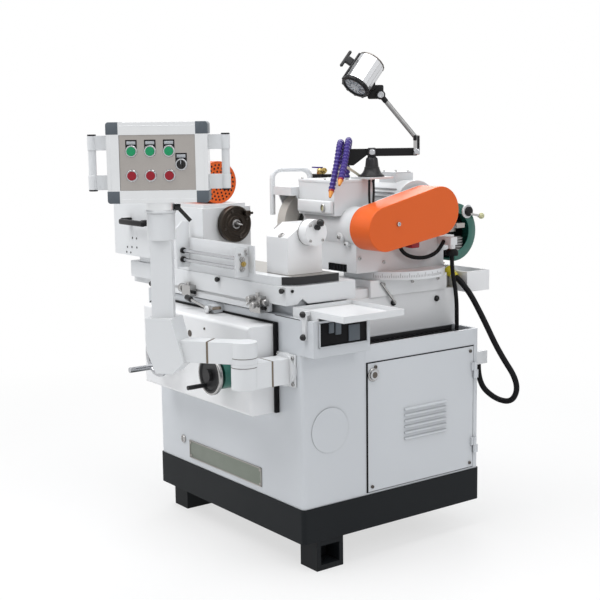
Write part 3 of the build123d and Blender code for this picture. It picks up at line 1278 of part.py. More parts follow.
def wheelhead_housing():
    """Swivelling wheelhead casting: disc, motor seat, spindle barrel, top box and guard plate."""
    disc = bar_z(HEAD_SWIVEL_X, HEAD_PIVOT_Y, (HEAD_BOTTOM, HEAD_DISC_TOP), HEAD_SWIVEL_RADIUS)
    pivot_low = SLIDE_TOP - HEAD_PIVOT_LENGTH + FACE_CLEARANCE
    pivot = bar_z(HEAD_SWIVEL_X, HEAD_PIVOT_Y, (pivot_low, HEAD_BOTTOM), HEAD_PIVOT_RADIUS)
    seat_top = MOTOR_Z - MOTOR_RADIUS
    front = BED_FRONT + HEAD_FRONT_SETBACK
    rear = BED_FRONT + HEAD_REAR_SETBACK
    base = block((HEAD_LEFT, HEAD_RIGHT), (front, rear), (HEAD_DISC_TOP, seat_top))
    barrel = bar_x((BARREL_LEFT, HEAD_RIGHT), HEAD_Y, AXIS_Z, BARREL_RADIUS)
    box = block(
        (BARREL_LEFT, SPINDLE_BOX_RIGHT),
        (HEAD_Y - SPINDLE_BOX_FRONT_REACH, HEAD_Y + SPINDLE_BOX_REAR_REACH),
        (AXIS_Z + SPINDLE_BOX_FOOT, SPINDLE_BOX_TOP),
    )
    half = LAMP_PLATE_SIZE / 2
    lamp_x = (LAMP_X - half, LAMP_X + half)
    lamp_y = (LAMP_Y - half, LAMP_Y + half)
    lamp_plate = block(lamp_x, lamp_y, (SPINDLE_BOX_TOP, LAMP_SEAT))
    back_face = drive_lobes(BELT_GUARD_FRONT_RADIUS, BELT_GUARD_REAR_RADIUS)
    back_plate = raise_x(back_face, (BACK_PLATE_LEFT, BACK_PLATE_RIGHT))
    shaft_hole = bar_x((BACK_PLATE_LEFT, BACK_PLATE_RIGHT), MOTOR_Y, MOTOR_Z, MOTOR_PULLEY_RADIUS)
    gland_z = CONDUIT_TOP + GLAND_HEIGHT
    bracket = block(
        (HEAD_RIGHT, HEAD_RIGHT + GLAND_BRACKET_LENGTH),
        (rear - GLAND_BRACKET_WIDTH, rear),
        (gland_z, gland_z + GLAND_BRACKET_HEIGHT),
    )
    gland_y = rear - GLAND_BRACKET_WIDTH / 2
    gland = bar_z(CONDUIT_X, gland_y, (CONDUIT_TOP + FACE_CLEARANCE, gland_z), GLAND_RADIUS)
    drum_arm = block(
        (DRUM_LEFT, DRUM_LEFT + DRUM_WIDTH),
        (rear, DRUM_Y),
        (seat_top - DRUM_ARM_HEIGHT, seat_top),
    )
    head = disc + pivot + base + barrel + box + lamp_plate + back_plate - shaft_hole
    head += bracket + gland + drum_arm
    spigot_floor = LAMP_SEAT - LAMP_SPIGOT_LENGTH - FACE_CLEARANCE
    head -= bar_z(LAMP_X, LAMP_Y, (spigot_floor, LAMP_SEAT), LAMP_SPIGOT_RADIUS + RUNNING_CLEARANCE)
    return head - bar_x((BARREL_LEFT, BACK_PLATE_RIGHT), HEAD_Y, AXIS_Z, SPINDLE_RADIUS + RUNNING_CLEARANCE)


def wheel_spindle():
    """Grinding spindle with the wheel flange, the nut and the belt pulley."""
    wheel_right = WHEEL_LEFT + WHEEL_WIDTH
    pulley_left = BACK_PLATE_RIGHT + PULLEY_GAP
    shaft = bar_x((wheel_right, pulley_left + PULLEY_WIDTH), HEAD_Y, AXIS_Z, SPINDLE_RADIUS)
    hub = bar_x((WHEEL_LEFT, wheel_right), HEAD_Y, AXIS_Z, WHEEL_BORE_RADIUS)
    flange = bar_x((wheel_right, wheel_right + WHEEL_FLANGE_THICKNESS), HEAD_Y, AXIS_Z, WHEEL_FLANGE_RADIUS)
    cap = bar_x((WHEEL_LEFT - WHEEL_FLANGE_THICKNESS, WHEEL_LEFT), HEAD_Y, AXIS_Z, WHEEL_FLANGE_RADIUS)
    pulley = bar_x((pulley_left, pulley_left + PULLEY_WIDTH), HEAD_Y, AXIS_Z, SPINDLE_PULLEY_RADIUS)
    nut_left = pulley_left + PULLEY_WIDTH
    nut = bar_x((nut_left, nut_left + SPINDLE_NOSE_LENGTH), HEAD_Y, AXIS_Z, SPINDLE_NOSE_RADIUS)
    return shaft + hub + flange + cap + pulley + nut


def grinding_wheel():
    """Abrasive ring on the spindle hub."""
    x = (WHEEL_LEFT, WHEEL_LEFT + WHEEL_WIDTH)
    return bar_x(x, HEAD_Y, AXIS_Z, WHEEL_RADIUS) - bar_x(x, HEAD_Y, AXIS_Z, WHEEL_BORE_RADIUS)


def wheel_guard():
    """Guard box round the wheel, open in front, with a bent pipe rail."""
    x = (GUARD_LEFT, BARREL_LEFT)
    inner = GUARD_OUTER - GUARD_WALL
    lip = WHEEL_RADIUS + GUARD_LIP_REACH
    outside = bar_x(x, HEAD_Y, AXIS_Z, GUARD_OUTER)
    outside += block(x, (HEAD_Y - lip, HEAD_Y), (AXIS_Z, GUARD_TOP))
    seat_rear = BED_FRONT + BLOCK_SETBACK + BLOCK_DEPTH
    outside += block(x, (HEAD_Y, seat_rear), (GUARD_TOP - GUARD_SEAT_HEIGHT, GUARD_TOP))
    inside_x = (x[0] + GUARD_WALL, x[1] - GUARD_WALL)
    inside = bar_x(inside_x, HEAD_Y, AXIS_Z, inner)
    inside += block(inside_x, (HEAD_Y - lip + GUARD_WALL, HEAD_Y), (AXIS_Z, AXIS_Z + inner))
    lip_z = GUARD_TOP - GUARD_LIP_HEIGHT
    front = slab_x(
        [
            (HEAD_Y - 2 * GUARD_OUTER, lip_z),
            (HEAD_Y - GUARD_EDGE_TOP, lip_z),
            (HEAD_Y - GUARD_EDGE_BOTTOM, AXIS_Z - GUARD_OUTER),
            (HEAD_Y - 2 * GUARD_OUTER, AXIS_Z - GUARD_OUTER),
        ],
        x,
    )
    hole = bar_x((inside_x[1], x[1]), HEAD_Y, AXIS_Z, GUARD_SPINDLE_HOLE)
    rail_x = GUARD_LEFT - RAIL_RADIUS + RAIL_SINK
    rail_y = HEAD_Y - lip + RAIL_RADIUS - RAIL_FRONT_INSET
    rail_top = GUARD_TOP + RAIL_HEIGHT
    rail = bent_pipe(
        [
            (rail_x, rail_y, AXIS_Z + RAIL_LOW_RISE),
            (rail_x, rail_y, rail_top),
            (rail_x + RAIL_SIDESTEP, rail_y + RAIL_RUN, rail_top),
            (rail_x + RAIL_SIDESTEP, rail_y + RAIL_RUN, GUARD_TOP - RAIL_SINK),
        ],
        RAIL_RADIUS,
        RAIL_BEND_RADIUS,
    )
    stub = bar_x((rail_x, inside_x[0]), HEAD_Y - lip + RAIL_RADIUS, lip_z + RAIL_RADIUS, RAIL_RADIUS / 2)
    return outside - inside - front - hole + rail + stub


def belt_guard():
    """Two-lobed belt cover, open at the back, seated on the wheelhead's plate."""
    x = (BACK_PLATE_RIGHT, BACK_PLATE_RIGHT + BELT_GUARD_DEPTH)
    outer = raise_x(drive_lobes(BELT_GUARD_FRONT_RADIUS, BELT_GUARD_REAR_RADIUS), x)
    face_edges = outer.faces().sort_by(Axis.X)[-1].edges()
    outer = fillet(face_edges, BELT_GUARD_EDGE_RADIUS)
    wall = BELT_GUARD_WALL
    inner_face = drive_lobes(BELT_GUARD_FRONT_RADIUS - wall, BELT_GUARD_REAR_RADIUS - wall)
    return outer - raise_x(inner_face, (x[0], x[1] - BELT_GUARD_WALL))


def motor_pulley():
    """Motor shaft with its belt pulley."""
    pulley_left = BACK_PLATE_RIGHT + PULLEY_GAP
    shaft_left = HEAD_RIGHT - MOTOR_FRAME_GAP - PULLEY_WIDTH
    shaft = bar_x((shaft_left, pulley_left), MOTOR_Y, MOTOR_Z, MOTOR_SHAFT_RADIUS)
    return shaft + bar_x((pulley_left, pulley_left + PULLEY_WIDTH), MOTOR_Y, MOTOR_Z, MOTOR_PULLEY_RADIUS)


def drive_belts():
    """Belts round the two pulleys, a little clear of them."""
    belts = []
    left = BACK_PLATE_RIGHT + PULLEY_GAP
    pitch = PULLEY_WIDTH / BELT_COUNT
    for row in range(BELT_COUNT):
        middle = left + pitch * (row + 1 / 2)
        x = (middle - BELT_WIDTH / 2, middle + BELT_WIDTH / 2)
        inside = drive_lobes(SPINDLE_PULLEY_RADIUS + BELT_GAP, MOTOR_PULLEY_RADIUS + BELT_GAP)
        grown = BELT_GAP + BELT_THICKNESS
        outside = drive_lobes(SPINDLE_PULLEY_RADIUS + grown, MOTOR_PULLEY_RADIUS + grown)
        belts.append(raise_x(outside, x) - raise_x(inside, x))
    return Compound(children=belts)


def wheel_motor():
    """Motor on the wheelhead seat, with its foot and a terminal box."""
    right = HEAD_RIGHT - MOTOR_FRAME_GAP
    left = right - MOTOR_LENGTH
    body = bar_x((left, right), MOTOR_Y, MOTOR_Z, MOTOR_RADIUS)
    half = MOTOR_FOOT_WIDTH / 2
    saddle_y = (MOTOR_Y - half, MOTOR_Y + half)
    body += block((left + PULLEY_WIDTH, right), saddle_y, (MOTOR_Z - MOTOR_RADIUS, MOTOR_Z))
    middle = (left + right) / 2
    body += block(
        (middle - MOTOR_BOX_LENGTH / 2, middle + MOTOR_BOX_LENGTH / 2),
        (MOTOR_Y - MOTOR_BOX_WIDTH / 2, MOTOR_Y + MOTOR_BOX_WIDTH / 2),
        (MOTOR_Z, MOTOR_Z + MOTOR_RADIUS + MOTOR_BOX_HEIGHT),
    )
    shaft_hole = MOTOR_SHAFT_RADIUS + RUNNING_CLEARANCE
    return body - bar_x((right - PULLEY_WIDTH, right), MOTOR_Y, MOTOR_Z, shaft_hole)


def rear_drum():
    """Half-round green guard behind the wheelhead, closed at its left side."""
    x = (DRUM_LEFT, DRUM_LEFT + DRUM_WIDTH)
    drum = bar_x(x, DRUM_Y, DRUM_Z, DRUM_RADIUS)
    drum -= bar_x((x[0] + DRUM_WALL, x[1]), DRUM_Y, DRUM_Z, DRUM_RADIUS - DRUM_WALL)
    return drum & block(x, (DRUM_Y, DRUM_Y + DRUM_RADIUS), (DRUM_Z - DRUM_RADIUS, DRUM_Z + DRUM_RADIUS))


def coolant_block():
    """Coolant manifold on the wheel guard, with the valve body on top."""
    y = BED_FRONT + BLOCK_SETBACK
    x = (BLOCK_LEFT, BLOCK_LEFT + BLOCK_WIDTH)
    top = GUARD_TOP + BLOCK_HEIGHT
    body = block(x, (y, y + BLOCK_DEPTH), (GUARD_TOP, top))
    valve = bar_z(BLOCK_LEFT + BLOCK_WIDTH / 2, y + BLOCK_DEPTH / 2, (top, top + VALVE_HEIGHT), VALVE_RADIUS)
    hole = bar_z(
        BLOCK_LEFT + BLOCK_WIDTH / 2,
        y + BLOCK_DEPTH / 2,
        (top, top + VALVE_HEIGHT),
        VALVE_STEM_RADIUS + RUNNING_CLEARANCE,
    )
    return body + valve - hole


def coolant_valve_lever():
    """Flat lever on the coolant valve's stem."""
    x = BLOCK_LEFT + BLOCK_WIDTH / 2
    y = BED_FRONT + BLOCK_SETBACK + BLOCK_DEPTH / 2
    low = GUARD_TOP + BLOCK_HEIGHT + VALVE_HEIGHT + FACE_CLEARANCE
    stem = bar_z(x, y, (low - VALVE_HEIGHT + FACE_CLEARANCE, low), VALVE_STEM_RADIUS)
    half = VALVE_LEVER_WIDTH / 2
    arm = block((x - VALVE_LEVER_LENGTH, x + half), (y - half, y + half), (low, low + VALVE_LEVER_THICKNESS))
    return stem + arm


def coolant_hoses():
    """Two jointed nozzle hoses: beads threaded along a curve, each ending in a nozzle."""
    hoses = []
    for base, crest, drop, tip in zip(HOSE_BASES, HOSE_CREST, HOSE_DROP, HOSE_TIP):
        root = Vector(base[0], BED_FRONT + base[1], SPINDLE_BOX_TOP)
        stops = [root] + [root + Vector(*offset) for offset in (crest, drop, tip)]
        curve = Spline(*stops, tangents=[(0, 0, 1), Vector(*tip) - Vector(*drop)])
        hose = sweep(Plane(origin=curve @ 0, z_dir=curve % 0) * Circle(BEAD_CORE_RADIUS), path=curve)
        count = int(curve.length / BEAD_PITCH)
        for bead in range(count):
            share = (bead + 1 / 2) / count
            hose += Plane(origin=curve @ share, z_dir=curve % share) * Cylinder(BEAD_RADIUS, BEAD_LENGTH)
        nozzle = Plane(origin=curve @ 1, z_dir=curve % 1) * Pos(0, 0, NOZZLE_LENGTH / 2)
        hose += nozzle * Cone(BEAD_RADIUS, NOZZLE_TIP_RADIUS, NOZZLE_LENGTH)
        hoses.append(hose)
    return Compound(children=hoses)


def in_lamp(shape):
    """Place a shape drawn round the lamp's foot, with X along its arm."""
    return Pos(LAMP_X, LAMP_Y, LAMP_SEAT) * Rot(0, 0, LAMP_YAW) * shape


def lamp_base():
    """Cone foot on a spigot, with a flat tongue bored for the arm's pin."""
    cone = Pos(0, 0, FACE_CLEARANCE + LAMP_BASE_HEIGHT / 2) * Cone(
        LAMP_BASE_RADIUS, LAMP_NECK_RADIUS, LAMP_BASE_HEIGHT
    )
    half = LAMP_TONGUE / 2
    top = LAMP_PIVOT_RISE + LAMP_NECK_RADIUS
    tongue = block((-LAMP_NECK_RADIUS, LAMP_NECK_RADIUS), (-half, half), (LAMP_BASE_HEIGHT, top))
    bore = bar_y(0, (-half, half), LAMP_PIVOT_RISE, LAMP_PIN_RADIUS + RUNNING_CLEARANCE)
    spigot = bar_z(0, 0, (-LAMP_SPIGOT_LENGTH, FACE_CLEARANCE), LAMP_SPIGOT_RADIUS)
    return in_lamp(cone + tongue + spigot - bore)


def lamp_arm():
    """Flat tapered arm behind the tongue, with a pin through it and a bore at its far end."""
    half = LAMP_TONGUE / 2
    y = (half + FACE_CLEARANCE, half + FACE_CLEARANCE + LAMP_ARM_THICKNESS)
    high = LAMP_PIVOT_RISE + LAMP_ARM_HEIGHT / 2
    low = LAMP_PIVOT_RISE - LAMP_ARM_HEIGHT / 2
    end = LAMP_ARM_REACH + LAMP_ARM_HEIGHT / 2
    arm = slab_y(
        [
            (-LAMP_ARM_TAIL, high),
            (end, high),
            (end, low),
            (-LAMP_TAPER_REACH + LAMP_TAIL_DROP, low),
            (-LAMP_TAPER_REACH, LAMP_PIVOT_RISE - LAMP_TAIL_DROP),
            (-LAMP_ARM_TAIL, LAMP_PIVOT_RISE - LAMP_TAIL_DROP),
        ],
        y,
    )
    pin = bar_y(0, (-half - LAMP_ARM_THICKNESS, y[1]), LAMP_PIVOT_RISE, LAMP_PIN_RADIUS)
    washer_y = (-half - LAMP_ARM_THICKNESS, -half - FACE_CLEARANCE)
    washer = bar_y(0, washer_y, LAMP_PIVOT_RISE, LAMP_ARM_HEIGHT / 2)
    bore = bar_y(LAMP_ARM_REACH, y, LAMP_PIVOT_RISE, LAMP_PIN_RADIUS + RUNNING_CLEARANCE)
    return in_lamp(arm + pin + washer - bore)


def lamp_rod():
    """Elbow link in front of the arm and the leaning rod up to the head."""
    half = LAMP_TONGUE / 2
    arm_y = (half + FACE_CLEARANCE, half + FACE_CLEARANCE + LAMP_ARM_THICKNESS)
    width = LAMP_LINK_WIDTH / 2
    x = LAMP_ARM_REACH
    link_z = (LAMP_PIVOT_RISE - width, LAMP_PIVOT_RISE + LAMP_LINK_HEIGHT)
    link = block((x - width, x + width), (-half, half), link_z)
    pin = bar_y(x, (half, arm_y[1]), LAMP_PIVOT_RISE, LAMP_PIN_RADIUS)
    top = (x - LAMP_ROD_BACK, 0, LAMP_PIVOT_RISE + LAMP_ROD_RISE)
    rod = bar_between((x, 0, LAMP_PIVOT_RISE + LAMP_LINK_HEIGHT - width), top, LAMP_ROD_RADIUS)
    eye = bar_y(top[0], (-half, half), top[2], LAMP_NECK_RADIUS)
    bore = bar_y(top[0], (-half, half), top[2], LAMP_PIN_RADIUS + RUNNING_CLEARANCE)
    return in_lamp(link + pin + rod + eye - bore)


def lamp_head():
    """Lamp can with an ear on the rod's eye."""
    pivot = (LAMP_ARM_REACH - LAMP_ROD_BACK, 0, LAMP_PIVOT_RISE + LAMP_ROD_RISE)
    middle = (pivot[0] - LAMP_HEAD_BACK, 0, pivot[2] + LAMP_HEAD_RISE)
    can = Cylinder(LAMP_HEAD_RADIUS, LAMP_HEAD_LENGTH)
    can = Pos(*middle) * Rot(0, LAMP_HEAD_LEAN, 0) * Rot(-LAMP_HEAD_TILT, 0, 0) * can
    half = LAMP_TONGUE / 2
    y = (half + FACE_CLEARANCE, half + FACE_CLEARANCE + LAMP_EAR_THICKNESS)
    ear = bar_y(pivot[0], y, pivot[2], LAMP_NECK_RADIUS)
    stalk = bar_between(
        (pivot[0], (y[0] + y[1]) / 2, pivot[2]), (middle[0], (y[0] + y[1]) / 2, middle[2]), LAMP_STALK_RADIUS
    )
    pin = bar_y(pivot[0], (-half, (y[0] + y[1]) / 2), pivot[2], LAMP_PIN_RADIUS)
    return in_lamp(can + stalk + ear + pin)


def pendant_mount():
    """Flange on the bed's front, the lower arm and its upright swivel pin."""
    flange_y = (BED_FRONT - PENDANT_FLANGE_THICKNESS, BED_FRONT)
    flange = bar_y(PENDANT_X, flange_y, PENDANT_Z, PENDANT_FLANGE_RADIUS)
    z = (PENDANT_Z - PENDANT_ARM_HEIGHT / 2, PENDANT_Z + PENDANT_ARM_HEIGHT / 2)
    half = PENDANT_ARM_WIDTH / 2
    arm = block((PENDANT_X - half, PENDANT_X + half), (PENDANT_SWIVEL_Y, BED_FRONT), z)
    swivel = bar_z(PENDANT_X, PENDANT_SWIVEL_Y, z, PENDANT_SWIVEL_RADIUS)
    pin = bar_z(PENDANT_X, PENDANT_SWIVEL_Y, (z[1], z[1] + PENDANT_PIN_LENGTH), PENDANT_PIN_RADIUS)
    return flange + arm + swivel + pin


def in_arm(shape):
    """Place a shape drawn at the pendant swivel, with X along the upper arm."""
    return Pos(PENDANT_X, PENDANT_SWIVEL_Y, UPPER_ARM_BOTTOM) * Rot(0, 0, UPPER_ARM_ANGLE) * shape


def pendant_arm():
    """Swivelling upper arm with its elbow, the square column and the neck flange."""
    half = UPPER_ARM_WIDTH / 2
    swivel = bar_z(0, 0, (0, UPPER_ARM_HEIGHT), PENDANT_SWIVEL_RADIUS)
    arm = block((0, UPPER_ARM_LENGTH), (-half, half), (0, UPPER_ARM_HEIGHT))
    reach = ELBOW_WIDTH / 2
    elbow = slab_y(
        [
            (UPPER_ARM_LENGTH - reach, -ELBOW_DROP),
            (UPPER_ARM_LENGTH + reach - ELBOW_CHAMFER, -ELBOW_DROP),
            (UPPER_ARM_LENGTH + reach, UPPER_ARM_HEIGHT / 2),
            (UPPER_ARM_LENGTH + reach, UPPER_ARM_HEIGHT + ELBOW_RISE),
            (UPPER_ARM_LENGTH - reach, UPPER_ARM_HEIGHT + ELBOW_RISE),
            (UPPER_ARM_LENGTH - reach - ELBOW_DROP, 0),
        ],
        (-reach, reach),
    )
    pin_roof = PENDANT_PIN_LENGTH
    bore = bar_z(0, 0, (0, pin_roof), PENDANT_PIN_RADIUS + RUNNING_CLEARANCE)
    arm_part = in_arm(swivel + arm + elbow - bore)
    column = Pos(COLUMN_X, COLUMN_Y, COLUMN_FOOT + COLUMN_HEIGHT / 2) * Rot(0, 0, PANEL_YAW) * Box(
        COLUMN_WIDTH, COLUMN_WIDTH, COLUMN_HEIGHT
    )
    neck = bar_z(COLUMN_X, COLUMN_Y, (NECK_BOTTOM, NECK_TOP), NECK_RADIUS)
    neck_bore = bar_z(
        COLUMN_X,
        COLUMN_Y,
        (NECK_TOP - PENDANT_PIN_LENGTH - FACE_CLEARANCE, NECK_TOP),
        PENDANT_PIN_RADIUS + RUNNING_CLEARANCE,
    )
    return arm_part + column + neck - neck_bore


def in_panel(shape):
    """Place a shape drawn at the panel's middle, with X along its width and -Y outward."""
    return Pos(COLUMN_X, COLUMN_Y, PANEL_MIDDLE) * Rot(0, 0, PANEL_YAW) * shape


def panel_enclosure():
    """Panel box with a recessed front opening, its turning flange and pin."""
    half = (PANEL_WIDTH / 2, PANEL_DEPTH / 2, PANEL_HEIGHT / 2)
    box = Box(PANEL_WIDTH, PANEL_DEPTH, PANEL_HEIGHT)
    box = fillet(box.edges().filter_by(Axis.Y), PANEL_CORNER_RADIUS)
    opening = (half[0] - PANEL_FRAME, half[2] - PANEL_FRAME)
    box -= block((-opening[0], opening[0]), (-half[1], -half[1] + PANEL_RECESS), (-opening[1], opening[1]))
    inside = (opening[0] - PANEL_WALL, opening[1] - PANEL_WALL)
    box -= block((-inside[0], inside[0]), (-half[1], half[1] - PANEL_WALL), (-inside[1], inside[1]))
    flange = bar_z(0, 0, (-half[2] - PANEL_FLANGE_HEIGHT, -half[2]), NECK_RADIUS)
    pin_top = -half[2] - PANEL_FLANGE_HEIGHT
    pin = bar_z(0, 0, (pin_top - PENDANT_PIN_LENGTH, pin_top), PENDANT_PIN_RADIUS)
    clamp_z = pin_top + PANEL_FLANGE_HEIGHT / 2
    clamp_bore = bar_x(
        (NECK_RADIUS - CLAMP_PIN_LENGTH, NECK_RADIUS), 0, clamp_z, CLAMP_PIN_RADIUS + RUNNING_CLEARANCE
    )
    return in_panel(box + flange + pin - clamp_bore)


def button_places():
    """Places of the six push buttons: name, x and z on the face plate."""
    places = []
    for row, rise in (("green", GREEN_ROW_RISE), ("red", RED_ROW_RISE)):
        for number, x in enumerate(BUTTON_COLUMNS, start=1):
            places.append((f"{row}_button_{number}", x, rise))
    return places


def face_front():
    """Local y of the face plate's outer side."""
    return -PANEL_DEPTH / 2 + PANEL_RECESS - FACE_THICKNESS


def panel_face_plate():
    """Bright face plate in the panel's recess, with a collar round each control."""
    half = (PANEL_WIDTH / 2 - PANEL_FRAME - FACE_FIT, PANEL_HEIGHT / 2 - PANEL_FRAME - FACE_FIT)
    front = face_front()
    plate = block((-half[0], half[0]), (front, front + FACE_THICKNESS), (-half[1], half[1]))
    places = [(x, z) for name, x, z in button_places()] + [(SELECTOR_REACH, SELECTOR_RISE)]
    for x, z in places:
        plate += bar_y(x, (front - BEZEL_HEIGHT, front), z, BEZEL_RADIUS)
    for x, z in places:
        plate -= bar_y(x, (front - BEZEL_HEIGHT, front + FACE_THICKNESS), z, BUTTON_RADIUS + BUTTON_CLEARANCE)
    return in_panel(plate)


def push_button(x, z):
    """Round button through the face plate, with a narrower stem behind."""
    outer = face_front() - BEZEL_HEIGHT
    tip = outer - BUTTON_HEIGHT + BEZEL_HEIGHT
    cap = bar_y(x, (tip, face_front() + FACE_THICKNESS), z, BUTTON_RADIUS)
    stem = bar_y(x, (tip, face_front() + BUTTON_STEM_LENGTH), z, BUTTON_STEM_RADIUS)
    return in_panel(cap + stem)


def selector_knob():
    """Turning selector with a bar grip."""
    outer = face_front() - BEZEL_HEIGHT
    stem_y = (outer, face_front() + BUTTON_STEM_LENGTH)
    base = bar_y(SELECTOR_REACH, stem_y, SELECTOR_RISE, BUTTON_STEM_RADIUS)
    base += bar_y(SELECTOR_REACH, (outer, face_front() + FACE_THICKNESS), SELECTOR_RISE, BUTTON_RADIUS)
    half = SELECTOR_BAR_WIDTH / 2
    grip = block(
        (SELECTOR_REACH - half, SELECTOR_REACH + half),
        (outer - SELECTOR_BAR_HEIGHT, outer),
        (SELECTOR_RISE - BUTTON_RADIUS, SELECTOR_RISE + BUTTON_RADIUS),
    )
    return in_panel(base + grip)


def panel_handles():
    """Upright grab tube at each side of the panel, on two brackets."""
    handles = []
    half_bracket = HANDLE_BRACKET_HEIGHT / 2
    half_width = HANDLE_BRACKET_THICKNESS / 2
    for side in (-1, 1):
        edge = side * PANEL_WIDTH / 2
        x = edge + side * HANDLE_REACH
        handle = bar_z(x, 0, (-HANDLE_LENGTH / 2, HANDLE_LENGTH / 2), HANDLE_TUBE_RADIUS)
        for end in (-1, 1):
            z = end * (HANDLE_LENGTH / 2 - half_bracket)
            bracket_z = (z - half_bracket, z + half_bracket)
            handle += block(sorted((edge, x)), (-half_width, half_width), bracket_z)
        handles.append(in_panel(handle))
    return Compound(children=handles)


def clamp_lever():
    """Clamp lever in the side of the panel's turning flange."""
    z = -PANEL_HEIGHT / 2 - PANEL_FLANGE_HEIGHT / 2
    start = NECK_RADIUS + FACE_CLEARANCE
    hub = bar_x((start, start + CLAMP_HUB_LENGTH), 0, z, CLAMP_HUB_RADIUS)
    pin = bar_x((NECK_RADIUS - CLAMP_PIN_LENGTH, start), 0, z, CLAMP_PIN_RADIUS)
    middle = start + CLAMP_HUB_LENGTH / 2
    reach = CLAMP_ARM_LENGTH * cos(radians(CLAMP_ARM_LEAN))
    drop = CLAMP_ARM_LENGTH * sin(radians(CLAMP_ARM_LEAN))
    arm = bar_between((middle, 0, z), (middle + reach, 0, z - drop), CLAMP_ARM_RADIUS)
    return in_panel(hub + pin + arm)


def coupling_mouth():
    """End of the hose coupling, where the hose starts."""
    tilt = radians(COUPLING_TILT)
    start = (TAP_POST_X + TAP_LENGTH / 2, TAP_Y, TAP_Z)
    end = (start[0] + COUPLING_LENGTH * cos(tilt), TAP_Y, start[2] - COUPLING_LENGTH * sin(tilt))
    return start, end


def hose_anchor():
    """Low middle of the socket behind the cabinet, where the hose ends."""
    return HOSE_ANCHOR_X, BED_REAR + HOSE_ANCHOR_REACH, BED_BASE + HOSE_ANCHOR_RISE


def hose_fittings():
    """Tap on its post with the tilted coupling, and the hose socket behind the cabinet."""
    start, end = coupling_mouth()
    tap = bar_x((TAP_POST_X - TAP_LENGTH / 2, start[0]), TAP_Y, TAP_Z, TAP_RADIUS)
    tap += bar_z(TAP_POST_X, TAP_Y, (PEDESTAL_TOP + TAP_POST_HEIGHT, TAP_Z), TAP_RADIUS)
    tap += bar_between(start, end, COUPLING_RADIUS)
    x, y, z = hose_anchor()
    half = HOSE_ANCHOR_SIZE / 2
    socket = block((x - half, x + half), (BED_REAR, y + half), (z, z + HOSE_ANCHOR_SIZE))
    return Compound(children=[tap, socket])


def hanging_hose():
    """Hose that hangs from the tap in a loop and rises into the socket."""
    base, mouth = coupling_mouth()
    start = Vector(*mouth)
    end = Vector(*hose_anchor())
    stops = [start, start + (start - Vector(*base)).normalized() * HOSE_LEAD]
    stops += [start + Vector(*offset) for offset in HOSE_FALL]
    stops += [end + Vector(*offset) for offset in HOSE_RETURN]
    stops.append(end)
    return cord_tube([tuple(stop) for stop in stops], HOSE_RADIUS)


def motor_conduit():
    """Flexible conduit from the trough floor up to the wheelhead's gland."""
    top_y = BED_FRONT + HEAD_REAR_SETBACK - GLAND_BRACKET_WIDTH / 2
    top = Vector(CONDUIT_X, top_y, CONDUIT_TOP)
    bottom = Vector(CONDUIT_X, CONDUIT_Y, CONDUIT_FLOOR)
    lead = Vector(0, 0, CONDUIT_LEAD)
    middle = (top + bottom) / 2 + Vector(CONDUIT_BOW, CONDUIT_BOW, 0)
    stops = [top, top - lead, middle, bottom + lead, bottom]
    return cord_tube([tuple(stop) for stop in stops], CONDUIT_RADIUS)


parts = {
    "support_feet": support_feet(),
    "base_plinth": base_plinth(),
    "bed_casting": bed_casting(),
    "electrical_cabinet": electrical_cabinet(),
    "cabinet_door": cabinet_door(),
    "door_lock": door_lock(),
    "front_apron": front_apron(),
    "table_handwheel": table_handwheel(),
    "cross_feed_gearbox": cross_feed_gearbox(),
    "cross_feed_handwheel": cross_feed_handwheel(),
    "reversing_lever": reversing_lever(),
    "splash_trays": splash_trays(),
    "lower_table": lower_table(),
    "swivel_table": swivel_table(),
    "stop_dog_left": stop_dog(LEFT_DOG_X, LEFT_DOG_LENGTH, LEFT_DOG_HEIGHT),
    "stop_dog_right": stop_dog(RIGHT_DOG_X, RIGHT_DOG_LENGTH, RIGHT_DOG_HEIGHT),
    "splash_wall": splash_wall(),
    "guide_rods": guide_rods(),
    "workhead_housing": workhead_housing(),
    "workhead_cover": workhead_cover(),
    "workhead_spindle": workhead_spindle(),
    "drive_faceplate": drive_faceplate(),
    "workhead_motor": workhead_motor(),
    "tailstock_body": tailstock_body(),
    "tailstock_quill": tailstock_quill(),
    "tailstock_lever": tailstock_lever(),
    "wheelhead_pedestal": wheelhead_pedestal(),
    "cross_slide": cross_slide(),
    "wheelhead_housing": wheelhead_housing(),
    "wheel_spindle": wheel_spindle(),
    "grinding_wheel": grinding_wheel(),
    "wheel_guard": wheel_guard(),
    "belt_guard": belt_guard(),
    "motor_pulley": motor_pulley(),
    "drive_belts": drive_belts(),
    "wheel_motor": wheel_motor(),
    "rear_drum": rear_drum(),
    "coolant_block": coolant_block(),
    "coolant_valve_lever": coolant_valve_lever(),
    "coolant_hoses": coolant_hoses(),
    "lamp_base": lamp_base(),
    "lamp_arm": lamp_arm(),
    "lamp_rod": lamp_rod(),
    "lamp_head": lamp_head(),
    "pendant_mount": pendant_mount(),
    "pendant_arm": pendant_arm(),
    "panel_enclosure": panel_enclosure(),
    "panel_face_plate": panel_face_plate(),
    "panel_handles": panel_handles(),
    "clamp_lever": clamp_lever(),
    "selector_knob": selector_knob(),
    "hose_fittings": hose_fittings(),
    "hanging_hose": hanging_hose(),
    "motor_conduit": motor_conduit(),
}
for name, x, z in button_places():
    parts[name] = push_button(x, z)

os.makedirs("parts", exist_ok=True)
for name, shape in parts.items():
    export_step(shape, f"parts/{name}.step")
    print(name, [round(value, 1) for value in shape.bounding_box().size], round(shape.volume))
print(len(parts), "parts")
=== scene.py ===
import math

import bpy
from mathutils import Matrix, Vector


